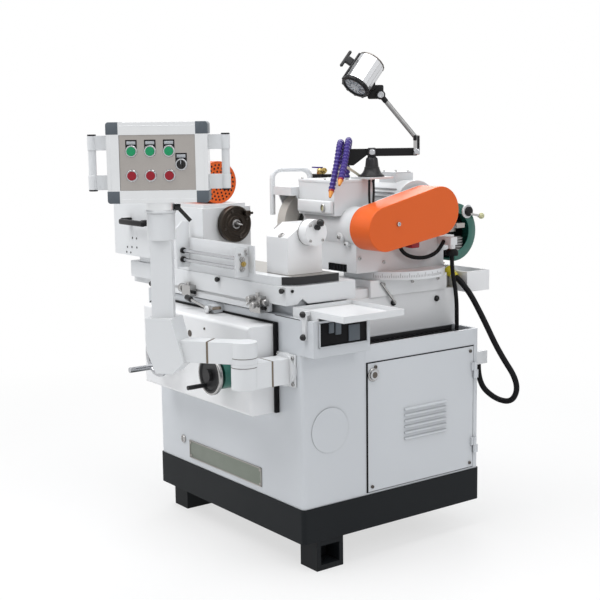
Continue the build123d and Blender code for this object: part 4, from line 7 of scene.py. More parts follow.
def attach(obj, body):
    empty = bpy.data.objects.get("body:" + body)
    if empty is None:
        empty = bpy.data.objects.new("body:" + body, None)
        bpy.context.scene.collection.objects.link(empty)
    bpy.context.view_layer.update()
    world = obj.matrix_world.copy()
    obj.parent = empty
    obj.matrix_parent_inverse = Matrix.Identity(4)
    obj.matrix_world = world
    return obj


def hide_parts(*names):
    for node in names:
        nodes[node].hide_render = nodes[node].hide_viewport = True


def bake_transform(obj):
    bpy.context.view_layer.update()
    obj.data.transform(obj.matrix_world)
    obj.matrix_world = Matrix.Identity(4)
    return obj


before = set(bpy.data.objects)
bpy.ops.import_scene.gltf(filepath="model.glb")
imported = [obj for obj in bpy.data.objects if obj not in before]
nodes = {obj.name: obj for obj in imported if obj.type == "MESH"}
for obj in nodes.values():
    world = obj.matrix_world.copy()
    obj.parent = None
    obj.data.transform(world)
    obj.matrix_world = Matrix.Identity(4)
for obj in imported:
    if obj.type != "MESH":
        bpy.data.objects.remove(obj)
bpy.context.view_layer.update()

# Small cylindrical grinder: finishes, small fittings and cables round the solid pieces.
mm = 0.001
print("frame:", len(nodes), "nodes")


# Camera and light

cameraPlan = {
    "place": (2.994, -2.005, 1.285),
    "turn": 53.66,      # degrees left of straight ahead
    "dip": 8.6,
    "roll": -0.77,
    "lens": 70.85,
    "sensor": 36.0,
    "farClip": 50,
}


def placeCamera(plan):
    turn = math.radians(plan["turn"])
    dip = math.radians(plan["dip"])
    roll = math.radians(plan["roll"])
    right = Vector((math.cos(turn), math.sin(turn), 0))
    ahead = Vector((-math.sin(turn) * math.cos(dip), math.cos(turn) * math.cos(dip), -math.sin(dip)))
    up = right.cross(ahead)
    side = right * math.cos(roll) + up * math.sin(roll)
    top = up * math.cos(roll) - right * math.sin(roll)
    data = bpy.data.cameras.new("photoCamera")
    data.lens = plan["lens"]
    data.sensor_width = plan["sensor"]
    data.clip_end = plan["farClip"]
    eye = bpy.data.objects.new("photoCamera", data)
    bpy.context.scene.collection.objects.link(eye)
    eye.matrix_world = Matrix.Translation(plan["place"]) @ Matrix((side, top, -ahead)).transposed().to_4x4()
    bpy.context.scene.camera = eye


lampPlan = {
    "key": {"place": (-0.5, -2.1, 3.6), "aim": (0, 0, 0.9), "size": 2.2, "power": 62},
    "side": {"place": (3.2, 0.5, 3.0), "aim": (0, 0.2, 0.9), "size": 2.4, "power": 30},
    "top": {"place": (0.4, -0.2, 4.0), "aim": (0, 0.2, 0.8), "size": 2.6, "power": 66},
    "back": {"place": (-2.4, 3.2, 2.6), "aim": (0, 0.2, 0.8), "size": 2.4, "power": 30},
}
worldPlan = {"shown": (1, 1, 1), "glow": (0.93, 0.96, 1.0), "strength": 0.34}


def hangLamps(plan):
    for name, lamp in plan.items():
        data = bpy.data.lights.new(name + "Light", "AREA")
        data.shape = "DISK"
        data.size = lamp["size"]
        data.energy = lamp["power"]
        light = bpy.data.objects.new(name + "Light", data)
        bpy.context.scene.collection.objects.link(light)
        light.location = lamp["place"]
        away = Vector(lamp["place"]) - Vector(lamp["aim"])
        light.rotation_euler = away.to_track_quat("Z", "Y").to_euler()


def seenDirectly(tree):
    # camera, mirror and glass rays see the plain white surround
    path = tree.nodes.new("ShaderNodeLightPath")
    total = path.outputs["Is Camera Ray"]
    for name in ("Is Glossy Ray", "Is Transmission Ray"):
        join = tree.nodes.new("ShaderNodeMath")
        join.operation = "MAXIMUM"
        tree.links.new(total, join.inputs[0])
        tree.links.new(path.outputs[name], join.inputs[1])
        total = join.outputs[0]
    return total


def lightWorld(plan):
    world = bpy.data.worlds.new("studio")
    bpy.context.scene.world = world
    world.use_nodes = True
    tree = world.node_tree
    glow = tree.nodes["Background"]
    glow.inputs["Color"].default_value = (*plan["glow"], 1)
    glow.inputs["Strength"].default_value = plan["strength"]
    shown = tree.nodes.new("ShaderNodeBackground")
    shown.inputs["Color"].default_value = (*plan["shown"], 1)
    pick = tree.nodes.new("ShaderNodeMixShader")
    tree.links.new(seenDirectly(tree), pick.inputs[0])
    tree.links.new(glow.outputs[0], pick.inputs[1])
    tree.links.new(shown.outputs[0], pick.inputs[2])
    tree.links.new(pick.outputs[0], tree.nodes["World Output"].inputs["Surface"])


bpy.context.scene.view_settings.view_transform = "Standard"
placeCamera(cameraPlan)
hangLamps(lampPlan)
lightWorld(worldPlan)
print("camera and lights set")


# Shader sums and nodes

class Wire:
    # a shader socket that takes part in plain sums
    def __init__(self, finish, socket):
        self.finish = finish
        self.socket = socket

    def sum(self, operation, first, second):
        return self.finish.add("ShaderNodeMath", {"operation": operation}, {0: first, 1: second})

    def __add__(self, other):
        return self.sum("ADD", self, other)

    def __radd__(self, other):
        return self.sum("ADD", other, self)

    def __sub__(self, other):
        return self.sum("SUBTRACT", self, other)

    def __rsub__(self, other):
        return self.sum("SUBTRACT", other, self)

    def __mul__(self, other):
        return self.sum("MULTIPLY", self, other)

    def __rmul__(self, other):
        return self.sum("MULTIPLY", other, self)

    def __truediv__(self, other):
        return self.sum("DIVIDE", self, other)

    def __gt__(self, other):
        return self.sum("GREATER_THAN", self, other)


class Finish:
    # one material and its node tree
    def __init__(self, name):
        self.material = bpy.data.materials.new(name)
        self.material.use_nodes = True
        self.tree = self.material.node_tree
        self.shader = self.tree.nodes["Principled BSDF"]
        self.place = self.add("ShaderNodeTexCoord", out="Object")

    def add(self, kind, settings=None, values=None, out=0):
        node = self.tree.nodes.new(kind)
        for key, value in (settings or {}).items():
            if key == "stops":
                self.setStops(node.color_ramp.elements, value)
            else:
                setattr(node, key, value)
        self.feed(node, values or {})
        return Wire(self, node.outputs[out])

    def setStops(self, elements, stops):
        while len(elements) < len(stops):
            elements.new(1)
        for element, (spot, grey) in zip(elements, stops):
            element.position = spot
            element.color = (grey, grey, grey, 1)

    def feed(self, node, values):
        for key, value in values.items():
            if isinstance(value, Wire):
                self.tree.links.new(value.socket, node.inputs[key])
            else:
                node.inputs[key].default_value = value

    def stretch(self, scale):
        return self.add("ShaderNodeMapping", {}, {"Vector": self.place, "Scale": scale})

    def noise(self, scale, detail, place=None):
        values = {"Vector": place or self.place, "Scale": scale, "Detail": detail}
        return self.add("ShaderNodeTexNoise", {}, values)

    def ramp(self, value, stops):
        return self.add("ShaderNodeValToRGB", {"stops": stops}, {0: value})

    def mix(self, share, first, second):
        settings = {"data_type": "RGBA", "clamp_factor": True}
        return self.add("ShaderNodeMix", settings, {0: share, 6: colour(first), 7: colour(second)}, 2)

    def crevice(self, reach):
        # 1 on open faces, lower in corners and gaps
        return self.add("ShaderNodeAmbientOcclusion", {"samples": 6}, {"Distance": reach}, "AO")

    def rounded(self, radius):
        # edges catch the light as if slightly rounded
        return self.add("ShaderNodeBevel", {"samples": 4}, {"Radius": radius})

    def bump(self, height, strength, depth, normal):
        values = {"Height": height, "Strength": strength, "Distance": depth, "Normal": normal}
        return self.add("ShaderNodeBump", {}, values)

    def set(self, **values):
        named = {key.replace("_", " "): value for key, value in values.items()}
        self.feed(self.shader, named)
        return self.material


def colour(value):
    if isinstance(value, Wire):
        return value
    return (*value, 1)


# Finishes

noiseMiddle = 0.5


def faded(tone, share):
    return [part * share for part in tone]


paintPlan = {
    "cloud": (5.5, 4), "cloudShare": 0.5, "fade": 0.93, "cloudGloss": 0.14,
    # reach, strength and roughness of the painted shade in corners and gaps
    "shadeReach": 26 * mm, "shadeLeast": 0.6, "shadeCloud": 0.8, "creviceGloss": 0.25,
    "peelDetail": 3, "peelDepth": 0.25 * mm, "coatRoughness": 0.15,
}


# the dark colour is painted shade: corners and gaps, found by ambient occlusion, are darkened towards it and
# made rougher
def paintFinish(name, tone, dark, gloss=0.34, grain=0.25, edge=1.6 * mm, peel=420, shadeAmount=0.5, coat=0.2,
                sheen=0.5):
    plan = paintPlan
    f = Finish(name)
    cloud = f.noise(*plan["cloud"])
    speck = f.noise(peel, plan["peelDetail"])
    # painted shade in corners and gaps, patchy with the cloud noise
    creviceShade = (1 - f.crevice(plan["shadeReach"])) * (plan["shadeLeast"] + cloud * plan["shadeCloud"]) * shadeAmount
    painted = f.mix(cloud * plan["cloudShare"], tone, faded(tone, plan["fade"]))
    base = f.mix(creviceShade, painted, dark)
    normal = f.bump(speck, grain, plan["peelDepth"], f.rounded(edge))
    rough = gloss + (cloud - noiseMiddle) * plan["cloudGloss"] + creviceShade * plan["creviceGloss"]
    return f.set(Base_Color=base, Roughness=rough, Normal=normal, Coat_Weight=coat,
                 Coat_Roughness=plan["coatRoughness"], Specular_IOR_Level=sheen)


metalPlan = {
    "lineDetail": 3, "lineShare": 0.55, "lineDepth": 0.06 * mm,
    "stain": (24, 4), "stainShare": 0.25, "fade": 0.72,
}


def metalFinish(name, tone, rough=0.28, stretch=(1, 1, 1), scale=900, mark=0.12, edge=0.6 * mm, bumpy=0.15):
    plan = metalPlan
    f = Finish(name)
    lines = f.noise(scale, plan["lineDetail"], f.stretch(stretch))
    stain = f.noise(*plan["stain"])
    base = f.mix(lines * plan["lineShare"] + stain * plan["stainShare"], tone, faded(tone, plan["fade"]))
    normal = f.bump(lines, bumpy, plan["lineDepth"], f.rounded(edge))
    shine = rough + (lines - noiseMiddle) * mark + (stain - noiseMiddle) * mark
    return f.set(Base_Color=base, Roughness=shine, Metallic=1.0, Normal=normal)


plasticPlan = {
    "grainDetail": 2, "grainDepth": 0.12 * mm, "cloud": (18, 3), "cloudShare": 0.5, "cloudGloss": 0.12,
    # reach and strength of the painted shade in corners and gaps
    "shadeReach": 8 * mm, "shadeShare": 0.3, "fade": 0.7, "fadeLift": 0.004,
}


def plasticFinish(name, tone, rough=0.5, scale=1500, grain=0.2, edge=0.7 * mm, coat=0.0, sheen=0.28):
    plan = plasticPlan
    f = Finish(name)
    fine = f.noise(scale, plan["grainDetail"])
    cloud = f.noise(*plan["cloud"])
    # painted shade in corners and gaps, from ambient occlusion
    creviceShade = (1 - f.crevice(plan["shadeReach"])) * plan["shadeShare"]
    worn = [part + plan["fadeLift"] for part in faded(tone, plan["fade"])]
    base = f.mix(cloud * plan["cloudShare"] + creviceShade, tone, worn)
    normal = f.bump(fine, grain, plan["grainDepth"], f.rounded(edge))
    gloss = rough + (cloud - noiseMiddle) * plan["cloudGloss"]
    return f.set(Base_Color=base, Roughness=gloss, Normal=normal, Coat_Weight=coat, Specular_IOR_Level=sheen)


abrasivePlan = {
    "gritScale": 900.0, "gritShare": 1.2, "gritBump": 0.7, "gritDepth": 0.5 * mm, "edge": 1.0 * mm,
    "bond": (0.68, 0.65, 0.61), "grain": (0.45, 0.42, 0.38), "dust": (0.72, 0.69, 0.65),
    "cloud": (30, 4), "cloudShare": 0.5, "rough": 0.85, "cloudRough": 0.1,
}


def abrasiveFinish(name, plan):
    f = Finish(name)
    grit = f.add("ShaderNodeTexVoronoi", {}, {"Vector": f.place, "Scale": plan["gritScale"]})
    cloud = f.noise(*plan["cloud"])
    stone = f.mix(grit * plan["gritShare"], plan["bond"], plan["grain"])
    base = f.mix(cloud * plan["cloudShare"], stone, plan["dust"])
    normal = f.bump(grit, plan["gritBump"], plan["gritDepth"], f.rounded(plan["edge"]))
    return f.set(Base_Color=base, Roughness=plan["rough"] + cloud * plan["cloudRough"], Normal=normal)


tableTopPlan = {
    "lines": (260, 3), "stretch": (1, 24, 1), "lineShare": 0.6,
    "steel": (0.42, 0.40, 0.37), "darkSteel": (0.30, 0.285, 0.265), "steelGloss": 0.1,
    "cloud": (5.5, 4), "cloudShare": 0.5, "rough": 0.4, "cloudGloss": 0.14, "edge": 1.6 * mm,
    "paint": (0.79, 0.805, 0.82), "wornPaint": (0.73, 0.745, 0.76),
    "facingUp": 0.9, "lipBack": -62 * mm,
}


def tableFinish(name, plan):
    # white casting with a ground upper face behind its front lip
    f = Finish(name)
    lines = f.noise(*plan["lines"], f.stretch(plan["stretch"]))
    cloud = f.noise(*plan["cloud"])
    normal = f.add("ShaderNodeTexCoord", out="Normal")
    up = f.add("ShaderNodeSeparateXYZ", {}, {0: normal}, "Z")
    back = f.add("ShaderNodeSeparateXYZ", {}, {0: f.place}, "Y")
    bare = (up > plan["facingUp"]) * (back > plan["lipBack"])
    paint = f.mix(cloud * plan["cloudShare"], plan["paint"], plan["wornPaint"])
    steel = f.mix(lines * plan["lineShare"], plan["steel"], plan["darkSteel"])
    rough = plan["rough"] + (cloud - noiseMiddle) * plan["cloudGloss"] - bare * plan["steelGloss"]
    return f.set(Base_Color=f.mix(bare, paint, steel), Roughness=rough, Metallic=bare,
                 Normal=f.rounded(plan["edge"]))


finishes = {
    # the second colour of each paint is its painted shade in corners and gaps
    "whitePaint": paintFinish("whitePaint", (0.80, 0.815, 0.83), (0.34, 0.33, 0.31)),
    "whiteCasting": paintFinish("whiteCasting", (0.79, 0.805, 0.82), (0.30, 0.29, 0.27), gloss=0.38,
                                grain=0.4, edge=2.4 * mm, peel=240),
    # a darker copy of the white paint: painted shade on the bed, cabinet, door and covers
    "shadedWhitePaint": paintFinish("shadedWhitePaint", (0.67, 0.695, 0.725), (0.27, 0.27, 0.26), gloss=0.38, grain=0.4,
                            edge=2.4 * mm, peel=240),
    # a lighter copy of the white paint: painted light on the apron, tailstock, pedestal and cross slide
    "litWhitePaint": paintFinish("litWhitePaint", (0.90, 0.905, 0.915), (0.38, 0.37, 0.35)),
    "charcoal": paintFinish("charcoalPaint", (0.010, 0.012, 0.014), (0.022, 0.021, 0.020), gloss=0.52,
                            grain=0.4, edge=1.5 * mm, peel=300, coat=0.0, sheen=0.14),
    "orange": paintFinish("orangePaint", (0.80, 0.128, 0.016), (0.30, 0.05, 0.02), gloss=0.42, grain=0.15,
                          edge=2.0 * mm, shadeAmount=0.35, coat=0.16, sheen=0.26),
    "green": paintFinish("greenPaint", (0.012, 0.125, 0.095), (0.008, 0.03, 0.025), gloss=0.3, grain=0.2,
                         edge=1.5 * mm, peel=380),
    "chrome": metalFinish("chrome", (0.52, 0.53, 0.55), 0.12, scale=300, mark=0.05, bumpy=0.03),
    "turned": metalFinish("turnedSteel", (0.47, 0.465, 0.46), 0.26, (6, 1, 1), scale=700, mark=0.14),
    "dark": metalFinish("darkSteel", (0.135, 0.120, 0.108), 0.36, scale=160, mark=0.2),
    "stainless": metalFinish("brushedPlate", (0.43, 0.405, 0.385), 0.42, (1, 1, 40), 130, 0.18, bumpy=0.1),
    "aluminium": metalFinish("satinAluminium", (0.80, 0.815, 0.83), 0.34, (1, 1, 12), scale=300, mark=0.1),
    "brass": metalFinish("castBrass", (0.55, 0.41, 0.15), 0.3, scale=120, mark=0.2),
    "lampCan": metalFinish("lampCan", (0.70, 0.71, 0.73), 0.22, (1, 1, 14), scale=220, mark=0.1),
    "castGrey": metalFinish("castGrey", (0.30, 0.30, 0.30), 0.45, scale=120, mark=0.2),
    "greyPlate": metalFinish("greyPlate", (0.235, 0.26, 0.225), 0.42, (1, 1, 20), scale=160, mark=0.16),
    "bronze": metalFinish("bronzePlate", (0.20, 0.165, 0.13), 0.42, (1, 1, 20), scale=160, mark=0.16),
    "brownSteel": metalFinish("brownSteel", (0.060, 0.050, 0.042), 0.34, scale=160, mark=0.16),
    "black": plasticFinish("blackPlastic", (0.006, 0.006, 0.007), 0.42, sheen=0.2),
    "knob": plasticFinish("glossBlack", (0.008, 0.008, 0.009), 0.2, 700, 0.05, edge=0.5 * mm, coat=0.15),
    "rubber": plasticFinish("blackRubber", (0.005, 0.005, 0.006), 0.62, 900, grain=0.4, sheen=0.14),
    "slate": plasticFinish("slatePlastic", (0.118, 0.138, 0.158), 0.48),
    "graphite": plasticFinish("graphiteShell", (0.020, 0.020, 0.022), 0.4),
    "greenCap": plasticFinish("greenCap", (0.008, 0.33, 0.13), 0.3, 600, 0.05, edge=0.5 * mm, coat=0.12),
    "redCap": plasticFinish("redCap", (0.34, 0.008, 0.022), 0.3, 600, 0.05, edge=0.5 * mm, coat=0.12),
    "purple": plasticFinish("purplePlastic", (0.046, 0.022, 0.225), 0.3, 600, 0.08, edge=0.6 * mm, coat=0.2),
    "nozzle": plasticFinish("orangeNozzle", (0.80, 0.33, 0.07), 0.35, 600, grain=0.08),
    "yellow": plasticFinish("yellowPlastic", (0.66, 0.55, 0.03), 0.35, 600, grain=0.08),
    "brick": plasticFinish("brickHandle", (0.33, 0.07, 0.035), 0.4, 600, grain=0.1),
    "cream": plasticFinish("creamTube", (0.62, 0.58, 0.46), 0.35, 500, grain=0.05),
    "paleStrip": plasticFinish("paleStrip", (0.52, 0.54, 0.57), 0.45, 600, grain=0.05),
    "paleKnob": plasticFinish("paleKnob", (0.60, 0.60, 0.36), 0.3, 600, grain=0.05),
    "lens": plasticFinish("lampLens", (0.30, 0.33, 0.36), 0.12, 300, grain=0.03, edge=0.6 * mm, coat=0.6),
    "oilGlass": plasticFinish("oilGlass", (0.55, 0.50, 0.30), 0.08, 300, grain=0.03, edge=0.6 * mm, coat=0.8),
    "abrasive": abrasiveFinish("grindingWheel", abrasivePlan),
    "tableTop": tableFinish("tableTop", tableTopPlan),
}
print("finishes:", len(finishes))

nodeFinish = {
    "support_feet": "charcoal", "base_plinth": "charcoal", "bed_casting": "shadedWhitePaint",
    "electrical_cabinet": "shadedWhitePaint", "cabinet_door": "shadedWhitePaint", "door_lock": "chrome",
    "front_apron": "litWhitePaint", "table_handwheel": "chrome", "cross_feed_gearbox": "green",
    "cross_feed_handwheel": "graphite", "reversing_lever": "turned", "splash_trays": "whitePaint",
    "lower_table": "whiteCasting", "swivel_table": "tableTop", "stop_dog_left": "turned",
    "stop_dog_right": "turned", "splash_wall": "whitePaint", "guide_rods": "chrome",
    "workhead_housing": "whiteCasting", "workhead_cover": "whitePaint", "workhead_spindle": "turned",
    "drive_faceplate": "dark", "workhead_motor": "orange", "tailstock_body": "litWhitePaint",
    "tailstock_quill": "turned", "tailstock_lever": "knob", "wheelhead_pedestal": "litWhitePaint",
    "cross_slide": "litWhitePaint", "wheelhead_housing": "whiteCasting", "wheel_spindle": "turned",
    "grinding_wheel": "abrasive", "wheel_guard": "whitePaint", "belt_guard": "orange",
    "motor_pulley": "turned", "drive_belts": "rubber", "wheel_motor": "whitePaint", "rear_drum": "green",
    "coolant_block": "black", "coolant_valve_lever": "purple", "coolant_hoses": "purple",
    "lamp_base": "black", "lamp_arm": "black", "lamp_rod": "turned", "lamp_head": "aluminium",
    "pendant_mount": "whitePaint", "pendant_arm": "whitePaint", "panel_enclosure": "aluminium",
    "panel_face_plate": "stainless", "panel_handles": "whitePaint", "clamp_lever": "knob",
    "selector_knob": "knob", "hose_fittings": "whitePaint", "hanging_hose": "rubber",
    "motor_conduit": "rubber",
    "green_button_1": "greenCap", "green_button_2": "greenCap", "green_button_3": "greenCap",
    "red_button_1": "redCap", "red_button_2": "redCap", "red_button_3": "redCap",
}
for nodeName, finishName in nodeFinish.items():
    nodes[nodeName].data.materials.clear()
    nodes[nodeName].data.materials.append(finishes[finishName])
print("solid pieces finished")


# Floor

floorPlan = {
    "half": 14.0, "sink": -0.2, "colour": (0.93, 0.93, 0.93), "rough": 0.6,
    "cloud": (1.5, 2), "cloudShare": 0.3, "worn": 0.98,
    "shadowReach": 0.06, "shadowLift": 0.66, "fade": 0.2,
}


def floorFinish(plan):
    # near-white where it is seen, with the object's shadow kept
    f = Finish("paleFloor")
    cloud = f.noise(*plan["cloud"])
    shade = f.mix(cloud * plan["cloudShare"], plan["colour"], faded(plan["colour"], plan["worn"]))
    f.set(Base_Color=shade, Roughness=plan["rough"])
    away = f.add("ShaderNodeVectorMath", {"operation": "LENGTH"}, {0: f.place}, 1)
    lift = f.ramp(away / plan["half"], ((plan["shadowReach"], plan["shadowLift"]), (plan["fade"], 1.0)))
    white = f.add("ShaderNodeEmission", {}, {"Color": (1, 1, 1, 1), "Strength": 1.0})
    seen = Wire(f, seenDirectly(f.tree))
    shown = f.add("ShaderNodeMixShader", {}, {0: seen * lift, 1: Wire(f, f.shader.outputs[0]), 2: white})
    f.tree.links.new(shown.socket, f.tree.nodes["Material Output"].inputs["Surface"])
    return f.material


def layFloor(plan):
    bpy.ops.object.select_all(action="DESELECT")
    bpy.ops.mesh.primitive_plane_add(size=2 * plan["half"], location=(0, 0, plan["sink"] * mm))
    floor = bpy.context.object
    floor.name = "paleFloor"
    bpy.ops.object.transform_apply(location=True, rotation=True, scale=True)
    floor.data.materials.append(floorFinish(plan))


layFloor(floorPlan)
print("floor laid")


# Hand-modelling helpers

rightward, leftward = (1, 0, 0), (-1, 0, 0)
forward, backward = (0, -1, 0), (0, 1, 0)
upward = (0, 0, 1)
softSegments = 3        # for well rounded edges


def clearHands():
    if bpy.context.object and bpy.context.object.mode != "OBJECT":
        bpy.ops.object.mode_set(mode="OBJECT")
    bpy.ops.object.select_all(action="DESELECT")


def hold(piece):
    clearHands()
    piece.select_set(True)
    bpy.context.view_layer.objects.active = piece


def carry(piece, place):
    # puts a place into the piece's mesh
    hold(piece)
    piece.matrix_world = place
    bpy.ops.object.transform_apply(location=True, rotation=True, scale=True)
    return piece


def copyTo(piece, place):
    hold(piece)
    bpy.ops.object.duplicate(linked=False)
    return carry(bpy.context.object, place)


def carryAll(pieces, place):
    return [carry(piece, place) for piece in pieces]


def inMetres(place):
    return [value * mm for value in place]


def shift(x, y, z):
    return Matrix.Translation((x * mm, y * mm, z * mm))


def rotated(degrees, axis):
    return Matrix.Rotation(math.radians(degrees), 4, axis)


def frameAt(place, turn):
    # a place turned about the upright, in degrees
    return shift(*place) @ rotated(turn, "Z")


def facing(place, along, across):
    # local X along, local Y across
    first = Vector(along).normalized()
    third = first.cross(Vector(across)).normalized()
    second = third.cross(first)
    return shift(*place) @ Matrix((first, second, third)).transposed().to_4x4()


sharpAngle = 32         # edges sharper than this are rounded


def roundOff(piece, width, segments=2, angle=sharpAngle):
    hold(piece)
    edge = piece.modifiers.new("edge", "BEVEL")
    edge.width = width * mm
    edge.segments = segments
    edge.limit_method = "ANGLE"
    edge.angle_limit = math.radians(angle)
    bpy.ops.object.modifier_apply(modifier="edge")
    return piece


def block(low, high, rounding, segments=2):
    clearHands()
    middle = [(a + b) / 2 * mm for a, b in zip(low, high)]
    size = [(b - a) * mm for a, b in zip(low, high)]
    bpy.ops.mesh.primitive_cube_add(size=1, location=middle, scale=size)
    piece = bpy.context.object
    bpy.ops.object.transform_apply(location=True, rotation=True, scale=True)
    return roundOff(piece, rounding, segments)


def drawChain(points):
    # one vertex drawn out along the points, left in edit mode
    clearHands()
    bpy.ops.mesh.primitive_plane_add(size=mm)
    bpy.ops.object.mode_set(mode="EDIT")
    bpy.ops.mesh.select_all(action="SELECT")
    bpy.ops.mesh.merge(type="CENTER")
    bpy.ops.transform.translate(value=inMetres(points[0]))
    for last, point in zip(points, points[1:]):
        step = inMetres(Vector(point) - Vector(last))
        bpy.ops.mesh.extrude_vertices_move(TRANSFORM_OT_translate={"value": step})
    bpy.ops.mesh.select_all(action="SELECT")
    return bpy.context.object


mergeReach = 0.003 * mm


def tidyMesh():
    bpy.ops.mesh.select_all(action="SELECT")
    bpy.ops.mesh.remove_doubles(threshold=mergeReach)
    bpy.ops.mesh.normals_make_consistent(inside=False)
    bpy.ops.object.mode_set(mode="OBJECT")


def aimed(axis):
    # local Z along the axis
    return Vector(axis).to_track_quat("Z", "Y").to_matrix().to_4x4()


def turned(profile, foot=(0, 0, 0), axis=upward, steps=40):
    # profile of (along, radius) turned about the axis through the foot
    piece = drawChain([(radius, 0, along) for along, radius in profile])
    bpy.ops.mesh.spin(steps=steps, angle=2 * math.pi, center=(0, 0, 0), axis=upward)
    tidyMesh()
    return carry(piece, shift(*foot) @ aimed(axis))


def sawn(outline, depth, rounding=0.0, angle=sharpAngle):
    # flat outline in X and Y, thickened along Z
    piece = drawChain([(x, y, 0) for x, y in outline])
    bpy.ops.mesh.edge_face_add()
    bpy.ops.mesh.extrude_region_move(TRANSFORM_OT_translate={"value": (0, 0, depth * mm)})
    tidyMesh()
    if rounding:
        roundOff(piece, rounding, angle=angle)
    return piece


def arc(middle, radius, start, end, count):
    angles = [math.radians(start + (end - start) * step / count) for step in range(count + 1)]
    return [(middle[0] + radius * math.cos(a), middle[1] + radius * math.sin(a)) for a in angles]


routePlan = {"steps": 14, "sides": 5, "order": 3}


def drawRoute(name, points, radius):
    line = bpy.data.curves.new(name, "CURVE")
    line.dimensions = "3D"
    line.resolution_u = routePlan["steps"]
    line.bevel_depth = radius * mm
    line.bevel_resolution = routePlan["sides"]
    line.use_fill_caps = True
    spline = line.splines.new("NURBS")
    spline.points.add(len(points) - 1)
    for point, place in zip(spline.points, points):
        point.co = (*inMetres(place), 1)
    spline.order_u = routePlan["order"]
    spline.use_endpoint_u = True
    route = bpy.data.objects.new(name, line)
    bpy.context.scene.collection.objects.link(route)
    return route


def linePoints(route):
    # the places that a curve passes, in metres
    bpy.context.view_layer.update()
    mesh = bpy.data.meshes.new_from_object(route)
    points = [vertex.co.copy() for vertex in mesh.vertices]
    bpy.data.objects.remove(route)
    bpy.data.meshes.remove(mesh)
    return points


def pipe(points, radius):
    # a bent rod, made a mesh
    route = drawRoute("bentRod", points, radius)
    hold(route)
    bpy.ops.object.convert(target="MESH")
    return bpy.context.object


edgeLimit = 0.9         # of a rod's radius


def rod(start, end, radius, rounding=0.6, steps=28):
    along = Vector(end) - Vector(start)
    length = along.length
    edge = min(rounding, radius * edgeLimit)
    profile = (
        (0, 0), (0, radius - edge), (edge, radius),
        (length - edge, radius), (length, radius - edge), (length, 0),
    )
    return turned(profile, start, along, steps)


ballPlan = {"wrap": 0.84, "steps": 12, "neck": 0.45, "neckBack": 1.3, "sides": 28}


def ball(place, radius, axis):
    # ball knob on a short neck behind it
    turns = [math.pi * ballPlan["wrap"] * step / ballPlan["steps"] for step in range(ballPlan["steps"] + 1)]
    profile = [(radius * math.cos(turn), radius * math.sin(turn)) for turn in turns]
    back = -radius * ballPlan["neckBack"]
    profile += [(back, radius * ballPlan["neck"]), (back, 0)]
    return turned(profile, place, axis, ballPlan["sides"])


# along and out, for a head of radius 1
screwShape = ((0, 0), (0, 1), (0.765, 1), (0.9, 0.86), (0.9, 0.52), (0.405, 0.46), (0.405, 0))
screwSides = 18


def screw(place, axis, radius):
    # socket-head screw standing on a face
    profile = [(along * radius, out * radius) for along, out in screwShape]
    return turned(profile, place, axis, screwSides)


def joined(pieces):
    hold(pieces[0])
    for piece in pieces[1:]:
        piece.select_set(True)
    if len(pieces) > 1:
        bpy.ops.object.join()
    return bpy.context.object


def settle(pieces, name, body, finish, smooth=34):
    piece = joined(pieces if isinstance(pieces, list) else [pieces])
    piece.name = name
    piece.data.name = name
    piece.data.materials.clear()
    piece.data.materials.append(finishes[finish])
    bpy.ops.object.shade_smooth_by_angle(angle=math.radians(smooth))
    if body:
        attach(piece, body)
    return piece


def blocks(corners, rounding, segments=2):
    return [block(low, high, rounding, segments) for low, high in corners]


def screws(feet, axis, radius):
    return [screw(foot, axis, radius) for foot in feet]


def ringOfRods(plan):
    # short rods standing round local Z
    rods = []
    for number in range(plan["count"]):
        angle = 2 * math.pi * number / plan["count"]
        x = plan["reach"] * math.cos(angle)
        y = plan["reach"] * math.sin(angle)
        ends = [(x, y, plan["low"]), (x, y, plan["high"])]
        rods.append(rod(*ends, plan["radius"], plan["edge"], plan["sides"]))
    return rods


def aroundX(place, reach, degrees):
    angle = math.radians(degrees)
    return (place[0], place[1] + reach * math.cos(angle), place[2] + reach * math.sin(angle))


holeSides = 14


def holeRings(profile, middle, rings, axis):
    # rings of copied holes round a point on an end face
    model = turned(profile, steps=holeSides)
    holes = []
    for reach, count in rings:
        for number in range(count):
            place = aroundX(middle, reach, 360 * number / count)
            holes.append(copyTo(model, shift(*place) @ aimed(axis)))
    bpy.data.objects.remove(model)
    return holes


# Cords: the hose and the conduit follow their solids, the loop and lamp cables have none

hosePlan = {
    "route": (
        (292.02, 590, 797.04), (346.76, 590, 767.93), (398.02, 612, 674.04), (442.02, 640, 566.04),
        (501.02, 670, 472.04), (478, 670, 405), (412, 658, 405), (365, 628, 455), (365, 628, 520),
    ),
    "diameter": 18,
    "length": 0.655,
}
conduitPlan = {
    "route": ((342, 532, 886.6), (342, 532, 826.6), (347, 549, 743.3), (342, 556, 660), (342, 556, 600)),
    "diameter": 13,
    "length": 0.288,
    "fixedBelow": (342, 556, 655),
    "carriedAbove": (342, 532, 862),
    "boot": ((0, 6.7), (-1, 19), (4, 20.5), (10, 20), (16, 17), (20, 12), (20, 6.7), (0, 6.7)),
    "bootFoot": (342, 532, 869),
}
loopPlan = {
    "route": (
        (314, 338, 926), (313, 346, 895), (314, 385, 872), (315, 440, 864),
        (317, 490, 876), (320, 510, 900), (322, 518.5, 914),
    ),
    "diameter": 12,
    "length": 0.227,
}
lampCablePlan = {
    "routes": (
        ((262, 268, 1113), (270, 262, 1108), (276, 256, 1090), (283, 250, 1062), (292, 244, 1040)),
        ((262, 282, 1113), (271, 277, 1108), (278, 272, 1090), (285, 266, 1066), (292, 258, 1044)),
    ),
    "diameter": 7,
    "lengths": (0.084, 0.080),
}


def layCord(name, route, diameter, body):
    cord = drawRoute(name, route, diameter / 2)
    cord.data.materials.append(finishes["rubber"])
    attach(cord, body)
    inMetres(route[0])
    return cord


